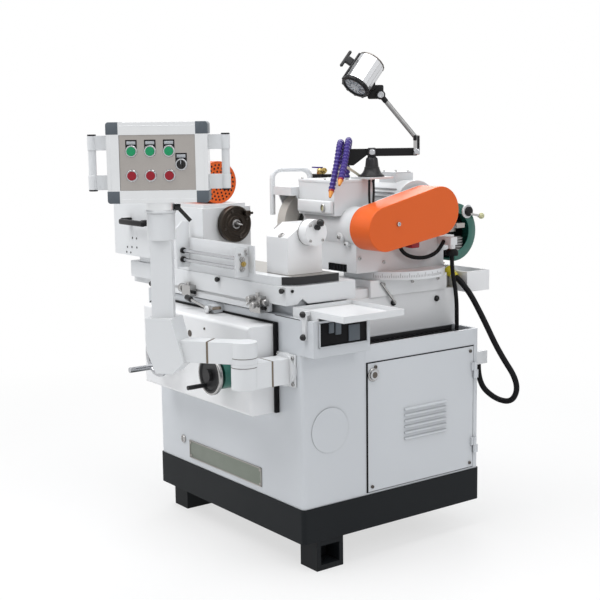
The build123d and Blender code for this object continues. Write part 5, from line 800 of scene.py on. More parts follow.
def hangConduit(plan):
    points = [tuple(point) for point in linePoints(drawRoute("routeLine", plan["route"], 0))]
    tube = pipe(plan["route"], plan["diameter"] / 2)
    tube = settle(tube, "motorConduit", None, "rubber")
    inMetres(plan["fixedBelow"])
    inMetres(plan["carriedAbove"])
    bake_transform(tube)
    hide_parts("motor_conduit")
    boot = turned(plan["boot"], plan["bootFoot"])
    settle(boot, "conduitBoot", "cross_slide", "rubber")


hose = layCord("hangingHose", hosePlan["route"], hosePlan["diameter"], "root")
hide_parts("hanging_hose")
hangConduit(conduitPlan)
layCord("cableLoop", loopPlan["route"], loopPlan["diameter"], "wheelhead")
lampCables = zip(lampCablePlan["routes"], lampCablePlan["lengths"])
for number, (route, length) in enumerate(lampCables, start=1):
    layCord("lampCable" + str(number), route, lampCablePlan["diameter"], "wheelhead")
print("cords laid")


# Control panel

panelPlan = {
    "column": (140.04, -379.05, 1179.6), "turn": 53.7,
    "half": (137, 109), "halfDepth": 44, "frame": 33.4, "proud": 0.9,
    "cornerRadius": 8, "cornerSteps": 8, "cornerEdge": 1.0, "cornerAngle": 40,
    "beadInset": 10, "beadHalf": 0.8, "beadHeight": 0.7, "beadEdge": 0.3,
    "greens": [(x, -41, 31) for x in (-70, -19, 32)],
    "reds": [(x, -41, -35) for x in (-70, -19, 32)],
    "selector": (64.5, -41, -5.6),
    "bezel": ((0, 12.45), (0, 16.4), (3.4, 16.4), (4.7, 15.2), (4.7, 12.45), (0, 12.45)),
    "legend": {"low": (-15.5, -1.3, -3), "high": (15.5, -0.1, 31), "edge": 0.5},
    "strip": {"low": (-12, -1.65, 18.5), "high": (12, -1.2, 27), "edge": 0.2},
    "mark": {"low": (-0.9, -13.6, 1), "high": (0.9, -12.9, 11), "edge": 0.2},
    "handleReach": 183, "handleHalf": 74,
    "cap": ((0.1, 0), (0.1, 12.2), (2.4, 12.2), (3.6, 11), (3.6, 0)),
    "sleeve": ((-1, 11.2), (-1, 12.7), (-39, 12.7), (-40, 11.9), (-40, 11.2), (-1, 11.2)),
    "lip": ((0, 39.3), (0, 41.4), (1, 42), (7, 42), (8, 41.4), (8, 39.3), (0, 39.3)),
    "lipFoot": (140.04, -379.05, 1041.0),
}


def cardAt(card, spot):
    # a small plate placed from the middle of its control
    low = Vector(spot) + Vector(card["low"])
    high = Vector(spot) + Vector(card["high"])
    return block(low, high, card["edge"])


def panelCorners(plan, place):
    half = [value + plan["proud"] for value in plan["half"]]
    depth = plan["halfDepth"] + plan["proud"]
    inner = plan["frame"]
    radius = plan["cornerRadius"]
    corners = []
    for quarter in range(4):
        wide, high = half if quarter % 2 == 0 else reversed(half)
        outline = [(wide - inner, high - inner), (wide, high - inner)]
        outline += arc((wide - radius, high - radius), radius, 0, 90, plan["cornerSteps"])
        outline += [(wide - inner, high)]
        corner = sawn(outline, 2 * depth, plan["cornerEdge"], angle=plan["cornerAngle"])
        upright = rotated(90, "X") @ rotated(90 * quarter, "Z")
        corners.append(carry(corner, place @ shift(0, depth, 0) @ upright))
    return corners


def frameBeads(plan):
    front = -plan["halfDepth"]
    wide, high = [value - plan["frame"] for value in plan["half"]]
    thin = plan["beadHalf"]
    tall = plan["beadHeight"]
    beads = []
    for side in (-1, 1):
        reach, level = [side * (value - plan["beadInset"]) for value in plan["half"]]
        beads.append(((-wide, front - tall, level - thin), (wide, front + tall, level + thin)))
        beads.append(((reach - thin, front - tall, -high), (reach + thin, front + tall, high)))
    return blocks(beads, plan["beadEdge"])


def dressPanel(plan):
    place = frameAt(plan["column"], plan["turn"])
    settle(panelCorners(plan, place), "panelCorners", "panel", "slate")
    settle(carryAll(frameBeads(plan), place), "frameBeads", "panel", "aluminium")

    controls = plan["greens"] + plan["reds"] + [plan["selector"]]
    bezels = [turned(plan["bezel"], spot, forward) for spot in controls]
    settle(carryAll(bezels, place), "controlBezels", "panel", "chrome")
    marked = plan["greens"] + [plan["selector"]]
    legends = [cardAt(plan["legend"], spot) for spot in marked]
    settle(carryAll(legends, place), "legendPlates", "panel", "black")
    strips = [cardAt(plan["strip"], spot) for spot in marked]
    settle(carryAll(strips, place), "legendStrips", "panel", "paleStrip")
    mark = carry(cardAt(plan["mark"], plan["selector"]), place)
    settle(mark, "selectorMark", "selector_knob", "paleStrip")

    caps = []
    sleeves = []
    for side in (-1, 1):
        for end in (-1, 1):
            foot = (side * plan["handleReach"], 0, end * plan["handleHalf"])
            caps.append(turned(plan["cap"], foot, (0, 0, end)))
            sleeves.append(turned(plan["sleeve"], foot, (0, 0, end)))
    settle(carryAll(caps, place), "handleCaps", "panel", "black")
    settle(carryAll(sleeves, place), "handleSleeves", "panel", "whitePaint")
    settle(turned(plan["lip"], plan["lipFoot"]), "flangeLip", "panel", "whitePaint")


dressPanel(panelPlan)
print("panel dressed")


# Work lamp

lampHeadPlan = {
    "foot": (229, 306, 1116.6), "turn": 53.7,
    "middle": (-24, 0, 305), "lean": 35, "tilt": -24,
    "facets": 18, "facetAngle": 8,
    "can": ((53, 0), (53, 33), (51, 38), (47, 42.8), (-43, 42.8), (-45, 41), (-45, 37), (-26, 20), (-24, 0)),
    "rearRim": (
        (46, 41.5), (46, 44), (49.5, 43.8), (53.5, 39), (55, 33), (55, 0),
        (53.4, 0), (53.4, 32), (50, 38), (46, 41.5),
    ),
    "bezel": (
        (-42, 42.9), (-42, 44.8), (-45, 46), (-51, 45), (-53, 42), (-53, 36),
        (-49, 35.5), (-45, 37), (-45, 41), (-42, 42.9),
    ),
    # grey lines at the facet edges: painted dark reflection stripes on the polished can
    "reflectionLines": {"count": 18, "reach": 42.2, "low": -42, "high": 46, "radius": 0.9, "edge": 0.3, "sides": 8},
    "lobes": {"count": 10, "reach": 42.6, "low": -52.4, "high": -43, "radius": 5.2, "edge": 1.2, "sides": 16},
    "lens": ((-47, 37), (-48.5, 36), (-50.5, 24), (-51.5, 10), (-51.6, 0)),
    "ribs": {"count": 12, "near": (15, -51.6), "far": (34, -48.6), "radius": 1.3, "edge": 0.4, "sides": 8},
    "bar": ((-70, 0, -22), (-70, 0, 41)), "barRadius": 5, "barEdge": 4,
    "bracket": ((-47.5, -13, -40), (-41.5, 13, 46)), "bracketEdge": 2.5,
    "stem": ((-68, -6, -2), (-46, 6, 22)), "stemEdge": 3,
    "knuckle": (((-11, 7.6, 232), (37, 19, 274)), ((-13, -9, 258), (11, 12, 288))), "knuckleEdge": 5,
    "pivotCap": ((0, 0), (0, 10), (3.5, 10), (5.5, 8.4), (5.5, 5), (4, 4.4), (4, 0)),
    "pivotFoot": (27, -7.6, 244),
}


def lensRibs(plan):
    ribs = []
    for number in range(plan["count"]):
        angle = 2 * math.pi * number / plan["count"]
        ends = [(out * math.cos(angle), out * math.sin(angle), z) for out, z in (plan["near"], plan["far"])]
        ribs.append(rod(*ends, plan["radius"], plan["edge"], plan["sides"]))
    return ribs


def hangLampHead(plan):
    foot = frameAt(plan["foot"], plan["turn"])
    can = foot @ shift(*plan["middle"]) @ rotated(plan["lean"], "Y") @ rotated(plan["tilt"], "X")
    shell = carry(turned(plan["can"], steps=plan["facets"]), can)
    body = settle(shell, "lampCan", "lamp_head", "lampCan", plan["facetAngle"])
    rim = carry(turned(plan["rearRim"], steps=plan["facets"]), can)
    settle(rim, "lampRearRim", "lamp_head", "dark")
    # grey lines along the facet edges of the can: painted dark reflection stripes
    settle(carryAll(ringOfRods(plan["reflectionLines"]), can), "facetReflectionLines", "lamp_head", "castGrey")
    bezel = [turned(plan["bezel"])] + ringOfRods(plan["lobes"])
    settle(carryAll(bezel, can), "lampBezel", "lamp_head", "black")
    settle(carry(turned(plan["lens"]), can), "lampLens", "lamp_head", "lens")
    settle(carryAll(lensRibs(plan["ribs"]), can), "lensRibs", "lamp_head", "slate")
    handle = [rod(*plan["bar"], plan["barRadius"], plan["barEdge"])]
    handle.append(block(*plan["bracket"], plan["bracketEdge"]))
    handle.append(block(*plan["stem"], plan["stemEdge"]))
    settle(carryAll(handle, can), "lampGrip", "lamp_head", "graphite")

    knuckle = blocks(plan["knuckle"], plan["knuckleEdge"], softSegments)
    settle(carryAll(knuckle, foot), "lampKnuckle", "lamp_head", "black")
    cap = carry(turned(plan["pivotCap"], plan["pivotFoot"], forward), foot)
    settle(cap, "lampPivotScrew", "lamp_head", "chrome")
    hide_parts("lamp_head")


lampStandPlan = {
    "cone": (
        (0.4, 0), (0.4, 38), (4, 38), (6, 36.5), (9, 32), (14, 27.5), (20, 24.5), (26, 22.8), (29, 22.8),
        (30, 20.6), (48, 18.6), (54, 17.6), (58, 15), (58, 0),
    ),
    "tongue": ((-13, -7, 56), (13, 7, 87)), "tongueEdge": 4,
    "spigot": ((-16, 0), (-16, 8.8), (0.5, 8.8), (0.5, 0)),
    "domeScrew": ((0, 0), (0, 9.4), (2, 9.4), (4.6, 7.6), (5.8, 4.4), (5.2, 0)),
    "armScrew": (0, -16.1, 74), "elbowScrew": (135, -7.8, 74),
    "elbowBack": ((134.4, -7.7, 64.4), (144.9, 7.7, 123)), "elbowBackEdge": 4,
    "elbowTop": ((125.2, -7.8, 106), (136, 7.8, 123.4)), "elbowTopEdge": 2.5,
    "rodTop": (27, 0, 244), "rodFoot": (135, 0, 113),
    "sleeve": (10, 27), "sleeveRadius": 8, "sleeveEdge": 1.5,
    "knuckle": ((-7.4, 0), (-7.4, 13), (-6.4, 14), (6, 14), (7, 13), (7, 0)),
    "tubeRadius": 7.2, "tubeEdge": 0.8,
    "armShell": ((12, 8.1, 61), (139, 16.9, 85)), "shellEdge": 3,
}


def dressLampStand(plan):
    foot = frameAt(lampHeadPlan["foot"], lampHeadPlan["turn"])
    stand = [turned(plan["cone"])]
    stand.append(block(*plan["tongue"], plan["tongueEdge"], softSegments))
    stand.append(turned(plan["spigot"]))
    base = settle(carryAll(stand, foot), "lampStand", "lamp_base", "graphite")
    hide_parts("lamp_base")
    armScrew = carry(turned(plan["domeScrew"], plan["armScrew"], forward), foot)
    settle(armScrew, "armScrew", "lamp_arm", "chrome")
    elbow = [block(*plan["elbowBack"], plan["elbowBackEdge"], softSegments)]
    elbow.append(block(*plan["elbowTop"], plan["elbowTopEdge"]))
    settle(carryAll(elbow, foot), "elbowShell", "lamp_rod", "black")
    elbowScrew = carry(turned(plan["domeScrew"], plan["elbowScrew"], forward), foot)
    settle(elbowScrew, "elbowScrew", "lamp_rod", "chrome")
    top = Vector(plan["rodTop"])
    along = (Vector(plan["rodFoot"]) - top).normalized()
    near, far = [top + along * reach for reach in plan["sleeve"]]
    collar = [rod(near, far, plan["sleeveRadius"], plan["sleeveEdge"])]
    collar.append(turned(plan["knuckle"], plan["rodTop"], backward))
    settle(carryAll(collar, foot), "rodCollar", "lamp_rod", "black")
    tube = carry(rod(far, plan["rodFoot"], plan["tubeRadius"], plan["tubeEdge"]), foot)
    settle(tube, "rodTube", "lamp_rod", "castGrey")
    shell = carry(block(*plan["armShell"], plan["shellEdge"]), foot)
    settle(shell, "armShell", "lamp_arm", "black")


hangLampHead(lampHeadPlan)
dressLampStand(lampStandPlan)
print("lamp dressed")


# Coolant hoses and valve

beadHosePlan = {
    "routes": (
        ((106, 280, 1110.6), (168, 236, 1220), (238, 158, 1136.6), (260, 126, 1084.6)),
        ((128, 290, 1110.6), (184, 254, 1225), (256, 178, 1156.6), (284, 142, 1116.6)),
    ),
    "pitch": 13.2, "lead": 90, "steps": 40,         # lead: how far it rises straight out of its base
    "bead": (
        (-6.8, 0), (-6.8, 6.2), (-5.6, 8.4), (-3, 9.7), (0.5, 9.9), (2.6, 8.4),
        (4, 7.2), (6.4, 6.6), (6.4, 0),
    ),
    "beadSides": 20,
    "collar": ((0, 0), (0, 8.6), (4, 9), (6, 8), (6, 0)),
    "nozzle": ((6, 0), (6, 7.6), (16, 5.6), (25, 3.6), (25, 2.2), (18, 2), (18, 0)),
}


def smoothLine(stops, plan):
    # places on a curve through every stop, upright at its start
    line = bpy.data.curves.new("stopLine", "CURVE")
    line.dimensions = "3D"
    line.resolution_u = plan["steps"]
    spline = line.splines.new("BEZIER")
    spline.bezier_points.add(len(stops) - 1)
    for point, stop in zip(spline.bezier_points, stops):
        point.co = inMetres(stop)
        point.handle_left_type = "AUTO"
        point.handle_right_type = "AUTO"
    first = spline.bezier_points[0]
    first.handle_right_type = "FREE"
    first.handle_right = first.co + Vector((0, 0, plan["lead"] * mm))
    holder = bpy.data.objects.new("stopLine", line)
    bpy.context.scene.collection.objects.link(holder)
    return [point / mm for point in linePoints(holder)]


def evenStops(points, pitch):
    # evenly spaced places on a line, with the way it heads there
    runs = [(b - a).length for a, b in zip(points, points[1:])]
    count = round(sum(runs) / pitch)
    step = sum(runs) / count
    stops = []
    walked = 0
    target = step / 2
    for a, b, run in zip(points, points[1:], runs):
        while target <= walked + run and len(stops) < count:
            stops.append((a + (b - a) * ((target - walked) / run), (b - a).normalized()))
            target += step
        walked += run
    return stops


def threadHoses(plan):
    model = turned(plan["bead"], steps=plan["beadSides"])
    beads = []
    collars = []
    nozzles = []
    for route in plan["routes"]:
        points = smoothLine(route, plan)
        for stop, heading in evenStops(points, plan["pitch"]):
            beads.append(copyTo(model, shift(*stop) @ aimed(heading)))
        heading = points[-1] - points[-2]
        collars.append(turned(plan["collar"], points[-1], heading))
        nozzles.append(turned(plan["nozzle"], points[-1], heading))
    bpy.data.objects.remove(model)
    hoses = settle(beads, "beadHoses", "wheelhead", "purple")
    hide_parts("coolant_hoses")
    settle(collars, "nozzleCollars", "wheelhead", "redCap")
    settle(nozzles, "hoseNozzles", "wheelhead", "nozzle")


valvePlan = {
    "foot": (11, 278, 1119.6), "nutSides": 6,
    "nut": ((0, 9.2), (0, 13), (6.5, 13), (7.5, 12), (7.5, 9.2), (0, 9.2)),
    "barrel": ((7.5, 9.2), (7.5, 11), (9, 12.4), (13, 12.4), (16, 11), (17.8, 10), (17.8, 9.2), (7.5, 9.2)),
    "outlet": ((9, 6.5), (13, 6.5), (13, 9), (20, 9), (20, 6), (26, 5.4), (26, 4), (20, 0), (9, 0)),
    "outletFoot": (11, 278, 1130.6),
    "cupFoot": (221, 172, 1110.6),
    "cupGlass": ((2, 0), (2, 12), (24, 12), (26, 10), (26, 0)),
    "cupBase": ((0, 0), (0, 14), (3, 14), (4.5, 12.4), (4.5, 0)),
    "cupLid": ((25, 0), (25, 12.6), (29, 12.6), (31, 8), (35, 5), (35, 0)),
    "tube": ((222, 176, 1144), (224, 190, 1156), (222, 215, 1148), (208, 262, 1128), (196, 290, 1116)),
    "tubeRadius": 4.2,
}


def fitValve(plan):
    valve = [turned(plan["nut"], plan["foot"], steps=plan["nutSides"]), turned(plan["barrel"], plan["foot"])]
    valve.append(turned(plan["outlet"], plan["outletFoot"], rightward))
    settle(valve, "coolantValve", "wheelhead", "brass")
    settle(turned(plan["cupGlass"], plan["cupFoot"]), "oilCup", "wheelhead", "oilGlass")
    ends = [turned(plan["cupBase"], plan["cupFoot"]), turned(plan["cupLid"], plan["cupFoot"])]
    settle(ends, "oilCupEnds", "wheelhead", "aluminium")
    settle(pipe(plan["tube"], plan["tubeRadius"]), "oilTube", "wheelhead", "cream")


threadHoses(beadHosePlan)
fitValve(valvePlan)
print("coolant fittings made")


# Bed, apron and cabinet

bedPlan = {
    "gaskets": (((-325, -99, 715), (290, -94.3, 721)), ((281.4, -107, 458), (291, -94.3, 721))),
    "gasketEdge": 0.8,
    "plate": ((-216, -96, 212), (194, -94.3, 270)), "plateEdge": 0.5,
    "rim": 3.0, "rimProud": 0.8, "rimLap": 0.2, "rimEdge": 0.3,
    "rivets": [(x, -96, z) for x, z in ((-208, 262), (186, 262), (-208, 220), (186, 220))],
    "rivet": ((0, 0), (0, 4), (1.2, 3.4), (2, 1.8), (2.2, 0)), "rivetSides": 14,
    "sight": (-253, -94.2, 266),
    "sightRing": ((0, 0), (0, 13), (3, 13), (5, 11), (5, 9), (2.5, 8), (2.5, 0)),
    "eye": (-37, -190.2, 656), "eyeSides": 24, "dot": (48, -190.2, 681.5), "dotSize": 3.4,
    "eyeRing": ((0, 0), (0, 10), (1.2, 10), (1.8, 9), (1.8, 7.6), (0.7, 7), (0.7, 0)),
    "seam": ((275, -94.9, 740), (395, -94.2, 742)), "seamEdge": 0.2,
    "hollow": ((457.2, -74, 671), (458.2, 92, 736)), "hollowEdge": 0.3,
    "lip": 3.5, "lipProud": 4.5, "lipEdge": 1,
    "fittings": (
        ((458.3, -44, 706), (463, -26, 735)), ((458.3, -22, 700), (464, -2, 735)),
        ((458.3, 26, 676), (462, 66, 722)),
    ),
    "fittingEdge": 2,
}


def dressBed(plan):
    settle(blocks(plan["gaskets"], plan["gasketEdge"]), "apronGasket", "root", "rubber")
    settle(block(*plan["plate"], plan["plateEdge"]), "barePlate", "root", "greyPlate")
    low, high = plan["plate"]
    rim = plan["rim"]
    near = low[1] - plan["rimProud"]
    far = low[1] + plan["rimLap"]
    edges = blocks((
        ((low[0], near, low[2]), (high[0], far, low[2] + rim)),
        ((low[0], near, high[2] - rim), (high[0], far, high[2])),
        ((low[0], near, low[2]), (low[0] + rim, far, high[2])),
        ((high[0] - rim, near, low[2]), (high[0], far, high[2])),
    ), plan["rimEdge"])
    edges += [turned(plan["rivet"], foot, forward, plan["rivetSides"]) for foot in plan["rivets"]]
    settle(edges, "plateRim", "root", "stainless")
    settle(turned(plan["sightRing"], plan["sight"], forward), "oilSight", "root", "turned")
    plugs = [turned(plan["eyeRing"], plan["eye"], forward, plan["eyeSides"])]
    plugs.append(screw(plan["dot"], forward, plan["dotSize"]))
    settle(plugs, "apronPlugs", "root", "dark")
    settle(block(*plan["seam"], plan["seamEdge"]), "bedSeam", "root", "rubber")

    low, high = plan["hollow"]
    lip = plan["lip"]
    out = high[0] + plan["lipProud"]
    # a black sheet at the back of the recess: painted shade that makes the hollow look deep
    settle(block(low, high, plan["hollowEdge"]), "hollowShadeSheet", "root", "rubber")
    walls = blocks((
        ((low[0], low[1] - lip, low[2] - lip), (out, low[1], high[2])),
        ((low[0], high[1], low[2] - lip), (out, high[1] + lip, high[2])),
        ((low[0], low[1] - lip, low[2] - lip), (out, high[1] + lip, low[2])),
    ), plan["lipEdge"])
    settle(walls, "hollowLip", "root", "shadedWhitePaint")
    fittings = blocks(plan["fittings"], plan["fittingEdge"])
    settle(fittings, "hollowFittings", "root", "slate")


cabinetPlan = {
    "mat": ((289, 147, 600.4), (387, 583, 622)), "matEdge": 1.5,
    "matBack": ((288.3, 147, 621), (291, 583, 638)), "matBackEdge": 0.5,
    "ribs": [((292, y, 621), (385, y + 9, 625)) for y in range(154, 555, 20)],
    "gaps": (((400.2, 137.5, 198), (401.3, 143.6, 589)), ((400.2, 137.5, 586.5), (401.3, 572, 589.5))),
    "gapEdge": 0.3,
    "screws": [(401.6, y, z) for y, z in ((158, 214), (556, 214), (556, 572), (172, 574))], "screwSize": 5,
    "lock": (401.5, 163, 552),
    "lockRing": ((0.2, 15.6), (0.2, 20), (3, 20), (5, 18.4), (5, 15.6), (0.2, 15.6)),
    "lockSlot": ((410.9, 161.4, 544), (411.7, 164.6, 560)), "slotEdge": 0.3,
    "lockDimple": ((9.1, 0), (9.1, 9.6), (9.7, 9.2), (9.7, 0)),
}


def dressCabinet(plan):
    mat = [block(*plan["mat"], plan["matEdge"]), block(*plan["matBack"], plan["matBackEdge"])]
    mat += blocks(plan["ribs"], plan["matEdge"])
    settle(mat, "troughMat", "root", "graphite")
    settle(blocks(plan["gaps"], plan["gapEdge"]), "doorSeal", "root", "rubber")
    doorScrews = screws(plan["screws"], rightward, plan["screwSize"])
    settle(doorScrews, "doorScrews", "cabinet_door", "dark")
    ring = turned(plan["lockRing"], plan["lock"], rightward)
    settle(ring, "lockRing", "cabinet_door", "turned")
    slot = [block(*plan["lockSlot"], plan["slotEdge"]), turned(plan["lockDimple"], plan["lock"], rightward)]
    settle(slot, "lockSlot", "door_lock", "dark")


dressBed(bedPlan)
dressCabinet(cabinetPlan)
print("bed and cabinet dressed")


# Table, dogs and lever

tablePlan = {
    "knob": ((0, 0), (0, 5), (4, 4.4), (5, 7.6), (9, 8.2), (12, 6.8), (13, 4), (13, 0)), "knobSides": 28,
    "knobs": ((-5, -102.1, 816), (330, -102.1, 816)),
    "endPlug": (340.2, -80, 814), "plugSize": 4.5,
    "stayBalls": [(side * 420, -103, z) for side in (-1, 1) for z in (696, 760)], "stayBall": 9.2,
    "wiper": {"middle": (266, -28), "inner": 70.3, "outer": 74.0, "start": -58, "steps": 14,
              "far": 88, "low": 829, "tall": 23, "edge": 0.5},
}
leverPlan = {
    "grip": ((-112, -136.3, 744.4), (-143, -136.3, 750)), "gripRadius": 9, "gripEdge": 3.5,
    "hub": (-13, -142.2, 727),
    "hubCap": ((0, 0), (0, 11), (2.5, 11), (4, 9), (4, 4), (3, 3.6), (3, 0)),
    "tail": ((14, -136.3, 731.8), (52, -136.3, 738.4)), "tailRadius": 5, "tailEdge": 1,
}
dogPlan = {
    "knurl": ((0, 0), (0, 8), (4, 8), (4, 13), (6, 13.6), (20, 13.6), (22, 12.4), (22, 5), (20, 4), (20, 0)),
    "knurlSides": 36,
    "teeth": {"count": 26, "reach": 13.4, "low": 6.5, "high": 19.5, "radius": 1.0, "edge": 0.5, "sides": 8},
    "leftKnob": (-190.2, -113.3, 771), "leftTip": ((-139.8, -113.3, 763), (-127, -113.3, 763)), "tip": 5.2,
    "rightKnobs": (
        ((204, -124.5, 782), forward), ((226, -124.5, 767), forward), ((244.2, -113.3, 776), rightward),
    ),
    "smallKnob": (
        (0, 0), (0, 6), (5, 6), (5, 8.6), (7, 9.4), (15, 9.4), (17, 8), (17, 3), (15.6, 2.6), (15.6, 0),
    ),
    "rightTip": ((244.2, -113.3, 758), (256, -113.3, 758)),
    "handle": ((200, -124, 771), (193, -137, 765)), "handleRadius": 3.4,
}


def dressTable(plan):
    knobs = [turned(plan["knob"], foot, forward, plan["knobSides"]) for foot in plan["knobs"]]
    knobs.append(screw(plan["endPlug"], rightward, plan["plugSize"]))
    settle(knobs, "tableKnobs", "table", "knob")
    balls = [ball(foot, plan["stayBall"], forward) for foot in plan["stayBalls"]]
    settle(balls, "stayBalls", "root", "knob")
    wiper = plan["wiper"]
    x = wiper["middle"][0]
    outline = arc(wiper["middle"], wiper["outer"], wiper["start"], 0, wiper["steps"])
    outline += [(x + wiper["outer"], wiper["far"]), (x + wiper["inner"], wiper["far"])]
    outline += arc(wiper["middle"], wiper["inner"], 0, wiper["start"], wiper["steps"])
    strip = carry(sawn(outline, wiper["tall"], wiper["edge"]), shift(0, 0, wiper["low"]))
    settle(strip, "tableWiper", "swivel_table", "graphite")


def dressLever(plan):
    grip = rod(*plan["grip"], plan["gripRadius"], plan["gripEdge"])
    settle(grip, "leverGrip", "reversing_lever", "knob")
    cap = turned(plan["hubCap"], plan["hub"], forward)
    settle(cap, "leverHubCap", "reversing_lever", "whitePaint")
    tail = rod(*plan["tail"], plan["tailRadius"], plan["tailEdge"])
    settle(tail, "leverTail", "reversing_lever", "bronze")


def dressDogs(plan):
    knob = joined([turned(plan["knurl"], steps=plan["knurlSides"])] + ringOfRods(plan["teeth"]))
    left = carry(knob, shift(*plan["leftKnob"]) @ aimed(leftward))
    settle(left, "leftDogKnob", "stop_dog_left", "turned")
    settle(rod(*plan["leftTip"], plan["tip"]), "leftDogTip", "stop_dog_left", "black")
    knobs = [turned(plan["smallKnob"], foot, axis) for foot, axis in plan["rightKnobs"]]
    knobs.append(rod(*plan["handle"], plan["handleRadius"]))
    settle(knobs, "rightDogKnobs", "stop_dog_right", "turned")
    settle(rod(*plan["rightTip"], plan["tip"]), "rightDogTip", "stop_dog_right", "black")


dressTable(tablePlan)
dressLever(leverPlan)
dressDogs(dogPlan)
print("table dressed")


# Workhead and tailstock

workheadPlan = {
    "grip": ((-501, -176, 957), (-342, -160, 975)), "gripEdge": 6, "gripSegments": 4,
    "gripFeet": (((-498, -170, 958), (-480, -134.1, 978)), ((-363, -170, 958), (-345, -134.1, 978))),
    "gripFootEdge": 4,
    "holes": [(x, -134.1, z) for x, z in (
        (-444, 1032), (-483, 910), (-456, 910), (-520, 877), (-489, 879), (-455, 880),
        (-526, 860), (-498, 860),
    )],
    "hole": ((0, 0), (0, 3.6), (0.7, 3.2), (0.7, 0)),
    "fan": (-159.9, 2.5, 1098.6), "rings": ((12, 5), (23, 10), (34, 15), (45, 20), (55, 25)),
    "fanHole": ((0, 0), (0, 3.3), (0.5, 3.1), (0.5, 0)),
    "fanStep": ((0, 62), (0, 66.6), (-4, 66.6), (-4, 66.1), (-0.6, 66.1), (-0.6, 62), (0, 62)),
    "fins": 30, "fin": ((-326, -1.4, 62), (-210, 1.4, 66)), "finEdge": 0.8, "finMiddle": (0, 2.5, 1098.6),
}
guideRodPlan = {
    "rises": (863.6, 891.6), "front": -122, "leftFace": -180.8, "collarFoot": 126.5, "rightFace": 152.2,
    "socket": ((0, 5.2), (0, 9.4), (7, 9.4), (8.5, 8), (8.5, 5.2), (0, 5.2)),
    "collar": ((0, 5.2), (0, 10.2), (1, 10.8), (18, 10.8), (19, 10), (19, 5.2), (0, 5.2)),
    "nut": ((0, 0), (0, 8.5), (5, 8.5), (6, 7.4), (6, 4.6), (10, 4.4), (10, 0)), "nutSides": 6,
    "screws": [(152.2, y, z) for y, z in ((-110, 916), (-108, 906), (-130, 906))], "screwSize": 4,
    "brassNut": (152.2, -118, 877.6),
}
faceplatePlan = {
    "foot": (-111, 21, 970.6), "sides": 56,
    "disc": (
        (0, 0), (0, 56), (1, 57), (19, 57), (22, 54), (22, 49), (20.6, 48), (20.6, 39), (22, 38), (22, 36.6),
        (20.6, 35.6), (20.6, 26), (22, 25), (22, 21), (19, 20), (19, 12), (21, 11.4), (21, 0),
    ),
    "dog": ((-89.2, 48, 994), (-73, 66, 1012)), "dogEdge": 3,
    "dogScrew": ((-81, 66, 1003), (-81, 77, 1003)), "dogScrewRadius": 4,
    "pinMiddle": (-90.3, 21, 970.6), "pinReach": 43, "pinAngles": (20, 110, 200, 290), "pinSize": 4,
}
tailPlan = {
    "cap": (323.1, 21, 970.6), "capAngles": (45, 135, 225, 315), "capReach": 31, "capScrew": 4,
    "slot": (244.5, -45.4, 962.2), "slotFacing": (0, -0.547, 0.837), "slotTurn": 40.107,
    "ring": ((0, 0), (0, 10), (2, 10), (3.4, 8.6), (3.4, 7), (1.6, 6.4), (1.6, 0)),
    "bar": ((-1.2, -6.2, 1.4), (1.2, 6.2, 2.8)), "barEdge": 0.3,
    "seam": ((0, 38), (0, 38.5), (1.6, 38.5), (1.6, 38), (0, 38)), "seamFoot": (285.6, 21, 970.6),
}


def dressWorkhead(plan):
    bridge = [block(*plan["grip"], plan["gripEdge"], plan["gripSegments"])]
    bridge += blocks(plan["gripFeet"], plan["gripFootEdge"], softSegments)
    settle(bridge, "coverHandle", "swivel_table", "black")
    holes = [turned(plan["hole"], foot, forward, holeSides) for foot in plan["holes"]]
    holes += holeRings(plan["fanHole"], plan["fan"], plan["rings"], rightward)
    settle(holes, "coverAndFanHoles", "swivel_table", "black")
    fins = [turned(plan["fanStep"], plan["fan"], rightward)]
    for number in range(plan["fins"]):
        turn = rotated(360 * number / plan["fins"], "X")
        fins.append(carry(block(*plan["fin"], plan["finEdge"]), shift(*plan["finMiddle"]) @ turn))
    settle(fins, "workMotorFins", "swivel_table", "orange")


def dressGuideRods(plan):
    sockets = []
    collars = []
    for rise in plan["rises"]:
        sockets.append(turned(plan["socket"], (plan["leftFace"], plan["front"], rise), rightward))
        collars.append(turned(plan["collar"], (plan["collarFoot"], plan["front"], rise), rightward))
        foot = (plan["rightFace"], plan["front"], rise)
        collars.append(turned(plan["nut"], foot, rightward, plan["nutSides"]))
    collars += screws(plan["screws"], rightward, plan["screwSize"])
    settle(sockets, "rodSockets", "swivel_table", "black")
    settle(collars, "rodCollars", "swivel_table", "turned")
    brass = turned(plan["nut"], plan["brassNut"], rightward, plan["nutSides"])
    settle(brass, "brassNut", "swivel_table", "brass")


def dressFaceplate(plan):
    disc = [turned(plan["disc"], plan["foot"], rightward, plan["sides"])]
    disc.append(block(*plan["dog"], plan["dogEdge"], softSegments))
    disc.append(rod(*plan["dogScrew"], plan["dogScrewRadius"]))
    plate = settle(disc, "drivePlate", "work_spindle", "brownSteel")
    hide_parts("drive_faceplate")
    feet = [aroundX(plan["pinMiddle"], plan["pinReach"], angle) for angle in plan["pinAngles"]]
    settle(screws(feet, rightward, plan["pinSize"]), "platePins", "work_spindle", "dark")


def dressTailstock(plan):
    feet = [aroundX(plan["cap"], plan["capReach"], angle) for angle in plan["capAngles"]]
    fixings = screws(feet, rightward, plan["capScrew"])
    place = shift(*plan["slot"]) @ aimed(plan["slotFacing"])
    fixings.append(carry(turned(plan["ring"]), place))
    fixings.append(carry(block(*plan["bar"], plan["barEdge"]), place @ rotated(plan["slotTurn"], "Z")))
    settle(fixings, "tailScrews", "tailstock", "turned")
    settle(turned(plan["seam"], plan["seamFoot"], rightward), "capSeam", "tailstock", "dark")


dressWorkhead(workheadPlan)
dressGuideRods(guideRodPlan)
dressFaceplate(faceplatePlan)
dressTailstock(tailPlan)
print("workhead and tailstock dressed")


# Wheelhead, pedestal and drum

